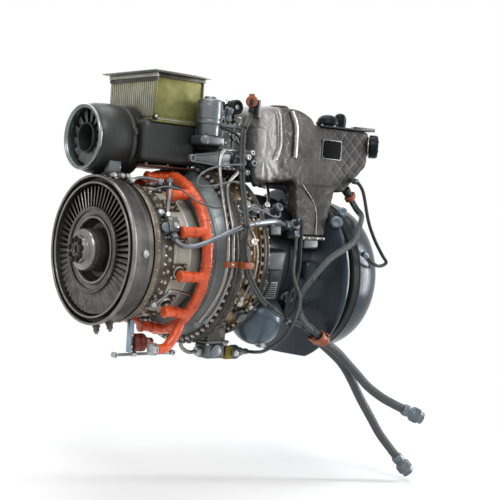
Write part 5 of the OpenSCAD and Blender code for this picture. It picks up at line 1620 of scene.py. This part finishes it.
class ENGINE_OT_harness(bpy.types.Operator):
    """Braided wiring harness with its loops, end clamps and the clamp of the bundle"""
    bl_idname = "engine.harness"
    bl_label = "Harness"

    def execute(self, context):
        # Each run is two sleeved cables side by side, tied together
        runs = (("harness_main_run", HARNESS_MAIN_ROUTE, "harness_main", ((-3.3, 3.9), (3.4, 3.5))),
            ("harness_rear_run", HARNESS_REAR_ROUTE, "harness_rear", ((-2.0, 6.4), (5.4, 3.0))))
        for name, route, node, pair in runs:
            run = Piece(name)
            for shift, r in pair:
                run.put("harness_braid", pipe(beside(route, 6, shift), r, steps=1, detail=6))
            path = smooth_path(route, 6)
            for k in range(9, len(path) - 8, 13):
                band = turned([(-4, 7.2), (-3.5, 8.4), (3.5, 8.4), (4, 7.2)], steps=28)
                bmesh.ops.scale(band, vec=(1, 1, 0.72), verts=band.verts)
                along = path[k + 1] - path[k]
                across = along.cross(SIDEWAYS)
                turn = Matrix((along.normalized(), across.normalized(),
                    along.cross(across).normalized())).transposed()
                run.put("black_rubber_lead", band, place=Matrix.Translation(path[k]) @ turn.to_4x4())
            run.done("braid", node, sharp=60.0)

        loops = Piece("harness_loop_leads")
        for route, r, finish in ((LOOP_FRONT_ROUTE, 4.5, "black_rubber_lead"),
                (LOOP_REAR_ROUTE, 4.5, "black_rubber_lead"), (LOOP_LOW_ROUTE, 4.5, "harness_braid"),
                (FAR_LEAD_ROUTE, 7.0, "harness_braid")):
            loops.put(finish, pipe(route, r, steps=6))
            union_ends(loops, route, r, "grey_anodised_plug", 20.0)
        loops.done("braid", "harness_loops", sharp=60.0)

        ends = Piece("harness_end_clamps")
        ring = [(-7, 5), (-7, 12.5), (-5, 14.8), (-2.5, 15.4), (-1.2, 14), (1.2, 14), (2.5, 15.4),
            (5, 14.8), (7, 12.5), (7, 5)]
        for place, along in (((381, -112, 391), (-0.73, -0.68, 0.05)),
                ((755, -115, 170.5), (0.6805, 0, -0.7328))):
            at = toward(place, along)
            ends.put("rust_silicone_clip", turned(ring, steps=44), place=at)
            ends.put("black_rubber_lead", turned([(-6, 0), (-6.6, 6), (6.6, 6), (6, 0)], steps=32),
                place=at)
            ends.put("rust_silicone_clip", block((-6, -6, 13), (6, 6, 19), soft=1.5), place=at)
            ends.put("zinc_plated_nut", bolt((0, -6, 16.5), NEAR, 2.6, 2.6), place=at)
        # Rubber boot above the rear clamp, short sleeve below the front one
        ends.put("black_rubber_lead", turned([(0, 0), (0, 12), (3, 13), (6, 11), (9, 12.4), (12, 10.6),
            (15, 11.8), (18, 10), (22, 9.4), (22, 0)], steps=44),
            place=toward((734.1, -115, 193), (0.6805, 0, -0.7328)))
        ends.put("black_rubber_lead", stud((381, -112, 392), (381, -112, 380), 9.0, soft=1.5))
        ends.done("clip_orange", "harness_clamps")

        bundle = Piece("cable_bundle_clamp")
        axis = Vector((3, 0, -2)).normalized()
        for y in (-187, -213):
            at = toward((584, y, -201), axis)
            bundle.put("rust_silicone_clip", turned([(-14.5, 11.7), (-14.5, 14), (-12.5, 15.6), (-7, 15.6),
                (-5, 14.4), (5, 14.4), (7, 15.6), (12.5, 15.6), (14.5, 14), (14.5, 11.7)], steps=40),
                place=at)
            bundle.put("black_rubber_lead", turned([(-14, 0), (-14, 12), (14, 12), (14, 0)], steps=32),
                place=at)
        at = toward((584, -200, -201), axis)
        bundle.put("rust_silicone_clip", block((-9, -9, -15), (9, 9, 15), soft=2.5),
            block((-7, -27.6, 12.5), (7, 27.6, 15.4), soft=1.0), place=at)
        bundle.put("zinc_plated_nut", bolt((0, 0, 15), UP, 4.5, 6.0), place=at)
        bundle.done("clip_orange", "bundle_clamp")
        return {"FINISHED"}


class ENGINE_OT_lower_units(bpy.types.Operator):
    """Fuel pump and valve, oil sump, drain valve with its strap and link under the engine"""
    bl_idname = "engine.lower_units"
    bl_label = "Lower units"

    def execute(self, context):
        pump = Piece("fuel_pump_body")
        pump.put("grey_cast_aluminium", block((300.2, -94, -222), (371.8, -26, -215.2), soft=2.0),
            block((306, -88, -262), (366, -32, -220), soft=10.0, segments=4))
        pump.put("satin_filter_alloy", turned([(0, 0), (0, 19), (4, 19), (5, 16), (12, 15), (12, 0)],
            steps=40), place=toward((330, -84, -241), NEAR))
        for x in (306, 366):
            for y in (-89, -31):
                pump.put("straw_plated_bolt", bolt((x, y, -222), DOWN, 4.0, 5.0))
        pump.put("zinc_plated_nut", nut((306, -60, -244), FORE, 12.0, 16.0))
        pump.put("bright_drawn_tube", pipe([(292, -60, -244), (272, -62, -246), (246, -72, -238),
            (226, -84, -226), (214, -96, -212)], 5.0))
        pump.done("cast_grey", "fuel_pump")

        valve = Piece("fuel_valve_body")
        at = toward((372, -64, -249.5), REAR)
        valve.put("olive_yellow_valve", block((0.2, -18, -16), (26, 18, 17), soft=3.0), place=at)
        valve.put("grey_anodised_plug", turned([(25, 0), (25, 14), (30, 14), (32, 17.4), (50, 17.4),
            (52, 14), (56, 14), (57, 12), (67, 11), (68, 9), (68, 0)], steps=48),
            around(block((33, -1.3, 16.6), (49, 1.3, 18.6), soft=0.5), 18), place=at)
        valve.put("zinc_plated_nut", nut((400, -82, -249.5), NEAR, 8.0, 12.0))
        valve.done("valve_olive", "fuel_valve")

        sump = Piece("oil_sump_bowl")
        bowl = ball((468, -85, -160), 69.6, 5)
        for v in bowl.verts:
            across = Vector((0.0, v.co.y, v.co.z))
            if across.length < 163.5:
                across = across.normalized() * 163.5
                v.co.y, v.co.z = across.y, across.z
        # The sump gets a lighter copy of the intake's paint: painted light
        sump.put("intake_paint_lit_copy", bowl)
        sump.put("zinc_plated_nut", nut((468, -110, -222), (0, -0.35, -0.93), 11.0, 12.0))
        sump.done("blue_grey", "oil_sump")

        drain = Piece("drain_valve_body")
        at = toward((96, -59, -217), REAR)
        drain.put("dull_red_valve_and_shade_sheet", turned([(0.3, 0), (0.3, 20), (2, 22), (12, 22), (14, 19), (18, 19),
            (20, 22), (30, 22), (32, 19), (34, 11), (56, 11), (58, 9), (58, 0)], steps=48), place=at)
        drain.put("zinc_plated_nut", nut((130, -59, -217), REAR, 12.5, 12.0))
        drain.done("valve_red", "drain_valve")

        strap = Piece("drain_valve_strap")
        low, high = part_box("drain_strap")
        z0, z1 = low.z / MM, high.z / MM
        strap.put("pale_blue_strap", block((83.3, -66, z0 + 0.2), (95.7, -52, z1 - 0.2), soft=2.0))
        for z in (z0 + 14, z0 + 42):
            strap.put("zinc_plated_nut", bolt((89.5, -66, z), NEAR, 3.6, 4.0))
        strap.done("strap_blue", "drain_strap")

        link = Piece("drain_link_rod")
        link.put("grey_drawn_tube", block((52, -63, -248.5), (214, -55, -241.5), soft=2.2))
        for x in (47, 218):
            link.put("zinc_plated_nut", turned([(-6.8, 3.5), (-6.8, 6), (-5.5, 7), (5.5, 7), (6.8, 6),
                (6.8, 3.5)], steps=32), place=toward((x, -59, -245), FAR))
        link.put("straw_plated_bolt", nut((96, -59, -245), REAR, 6.0, 14.0))
        link.done("steel_tube", "drain_link")
        return {"FINISHED"}


# Routes of the small lines, with their radii and finishes
SMALL_LINES = (([(84, -126, 150), (112, -130, 160), (144, -148, 156), (161, -162, 143), (181, -178, 127),
    (203, -188, 121), (224, -186, 118), (258, -190, 122)], 2.0, "grey_wire_lead"),
    ([(286, -226, 112), (309, -226, 123), (342, -223, 118), (376, -222, 106), (406, -214, 107),
    (424, -196, 116)], 2.6, "grey_wire_lead"), ([(96, -130, -121), (118, -150, -96), (132, -157, -83),
    (176, -153, -90), (222, -150, -102)], 4.0, "bright_drawn_tube"),
    ([(60, -60, 168), (94, -54, 178), (128, -60, 177), (151, -70, 172)], 4.2, "bright_drawn_tube"),
    ([(300, -108, 384), (276, -110, 362), (270, -112, 343), (280, -112, 321), (305, -112, 313),
    (335, -112, 305), (355, -112, 287), (364, -108, 257)], 3.8, "black_rubber_lead"),
    ([(296, -190, 226), (254, -192, 222), (200, -190, 210), (168, -188, 190), (168, -186, 168),
    (210, -188, 170), (276, -192, 184), (300, -188, 175)], 2.2, "grey_wire_lead"),
    ([(534, -8, 186), (500, -60, 178), (450, -120, 142), (415, -150, 116)], 4.0, "bright_drawn_tube"),
    ([(300, -196, 100), (330, -206, 60), (345, -210, 10), (338, -206, -50), (318, -190, -104)], 3.6,
    "bright_drawn_tube"), ([(398, -170, -20), (392, -208, -28), (384, -218, -60), (372, -206, -96),
    (350, -186, -124)], 3.2, "black_rubber_lead"))
# Sensor cans, unions and blocks: place, heading, radius, length and finish
SMALL_CANS = (((437, -150, 114), (0, -1, 0.6), 12, 36, "grey_anodised_plug"),
    ((460, -140, 130), (0.3, -1, 0.7), 10, 34, "black_anodised_and_painted_shade"),
    ((318, -170, 118), (0, -1, 0.7), 11, 28, "zinc_plated_nut"),
    ((352, -168, 112), (0, -1, 0.7), 14, 22, "grey_cast_aluminium"),
    ((433, -132, 128), (-0.5, -1, 0.6), 8, 16, "zinc_plated_nut"),
    ((319, -94, 340), (0, -0.3, 1), 11, 30, "grey_anodised_plug"),
    ((345, -98, 300), NEAR, 9, 14, "zinc_plated_nut"),
    ((330, -201, 40), (0, -1, 0.2), 9, 12, "straw_plated_bolt"),
    ((330, -199, -30), (0, -1, -0.15), 12, 14, "machined_flange_steel"),
    ((345, -188, -76), (0, -1, -0.4), 10, 14, "grey_anodised_plug"),
    ((320, -176, -104), (0, -1, -0.6), 9, 16, "straw_plated_bolt"),
    ((350, -150, -140), (0, -1, -0.9), 13, 18, "grey_cast_aluminium"),
    ((420, -110, -124), (0, -0.7, -1), 14, 22, "grey_cast_aluminium"),
    ((520, -130, -96), (0, -1, -0.7), 12, 24, "grey_anodised_plug"),
    ((512, -140, 74), (0, -1, 0.5), 14, 28, "black_anodised_and_painted_shade"),
    ((640, -182, 100), (-0.7, -0.7, 0.1), 15, 18, "grey_anodised_plug"),
    ((372, -93, 250), NEAR, 8, 34, "zinc_plated_nut"), ((388, -93, 236), NEAR, 9, 36, "grey_anodised_plug"),
    ((386, -93, 262), NEAR, 7, 32, "zinc_plated_nut"),
    ((360, -93, 232), (0, -1, 0.1), 8, 30, "grey_anodised_plug"),
    ((390, -120, 206), (0, -0.6, -1), 8, 30, "black_anodised_and_painted_shade"),
    ((376, -96, 218), (0, -1, -0.3), 7, 26, "zinc_plated_nut"),
    ((676, -166, 128), (-0.6, -0.8, 0.1), 12, 16, "grey_anodised_plug"),
    ((418, 150, 70), (0, 1, 0.5), 15, 30, "grey_cast_aluminium"),
    ((450, 140, -80), (0, 1, -0.6), 13, 26, "grey_anodised_plug"),
    ((330, 190, 70), (0, 1, 0.4), 14, 22, "machined_flange_steel"),
    ((332, 180, -90), (0, 1, -0.5), 12, 20, "straw_plated_bolt"))
# Brackets and boxes beside the leg and on the dome's near side: two corners and the finish
SMALL_BOXES = (((404, -190, 60), (438, -150, 92), "grey_cast_aluminium"),
    ((470, -182, 52), (520, -152, 84), "black_anodised_and_painted_shade"),
    ((402, 130, -40), (470, 176, 40), "black_anodised_and_painted_shade"),
    ((396, 20, 150), (470, 110, 182), "grey_cast_aluminium"))


class ENGINE_OT_dressing(bpy.types.Operator):
    """Thin wires, small tubes, sensors and brackets that lie close on the casings"""
    bl_idname = "engine.dressing"
    bl_label = "Small lines and fittings"

    def execute(self, context):
        lines = Piece("small_lines")
        for route, r, finish in SMALL_LINES:
            lines.put(finish, pipe(route, r, detail=2 if r < 2.5 else 4))
            if r > 3.0:
                union_ends(lines, route, r, "zinc_plated_nut", 12.0)
        lines.done("steel_tube", sharp=50.0)

        parts = Piece("small_fittings")
        for place, along, r, long, finish in SMALL_CANS:
            parts.put(finish, turned([(0, 0), (0, r * 1.15), (3, r * 1.15), (4, r * 0.85),
                (long * 0.5, r * 0.85), (long * 0.55, r), (long * 0.9, r), (long, r * 0.8), (long, r * 0.5),
                (long * 0.9, r * 0.45), (long * 0.9, 0)], steps=32), place=toward(place, along))
        for lo, hi, finish in SMALL_BOXES:
            parts.put(finish, block(lo, hi, soft=4.0, segments=3))
            y, out = (lo[1], -1) if lo[1] < 0 else (hi[1], 1)
            for x in (lo[0] + 5, hi[0] - 5):
                parts.put("straw_plated_bolt", bolt((x, y, hi[2] - 6), (0, out, 0), 2.6, 3.0))
        parts.done("cast_grey", sharp=40.0)
        return {"FINISHED"}


OPERATORS = (ENGINE_OT_stage, ENGINE_OT_free_cables, ENGINE_OT_exhaust, ENGINE_OT_wheel,
    ENGINE_OT_combustor, ENGINE_OT_manifold, ENGINE_OT_fuel_block, ENGINE_OT_main_joint,
    ENGINE_OT_hot_section, ENGINE_OT_intake, ENGINE_OT_fan, ENGINE_OT_cooler, ENGINE_OT_gearbox,
    ENGINE_OT_jacket, ENGINE_OT_jacket_fittings, ENGINE_OT_tubes, ENGINE_OT_harness, ENGINE_OT_lower_units,
    ENGINE_OT_dressing)


class ENGINE_PT_dressing(bpy.types.Panel):
    """Sizes, colours and pieces of the engine"""
    bl_label = "Turboshaft engine"
    bl_idname = "ENGINE_PT_dressing"
    bl_space_type = "VIEW_3D"
    bl_region_type = "UI"
    bl_category = "Engine"

    def draw(self, context):
        for group in (context.scene.engine_sizes, context.scene.engine_colours):
            box = self.layout.box()
            for key in group.bl_rna.properties.keys():
                if key not in {"rna_type", "name"}:
                    box.prop(group, key)
        for operator in OPERATORS:
            self.layout.operator(operator.bl_idname)


CLASSES = (EngineSizes, EngineColours, *OPERATORS, ENGINE_PT_dressing)


def register():
    for kind in CLASSES:
        bpy.utils.register_class(kind)
    bpy.types.Scene.engine_sizes = bpy.props.PointerProperty(type=EngineSizes)
    bpy.types.Scene.engine_colours = bpy.props.PointerProperty(type=EngineColours)


def unregister():
    del bpy.types.Scene.engine_colours
    del bpy.types.Scene.engine_sizes
    for kind in reversed(CLASSES):
        bpy.utils.unregister_class(kind)


def main():
    register()
    for operator in OPERATORS:
        group, name = operator.bl_idname.split(".")
        getattr(getattr(bpy.ops, group), name)()


if __name__ == "__main__":
    main()
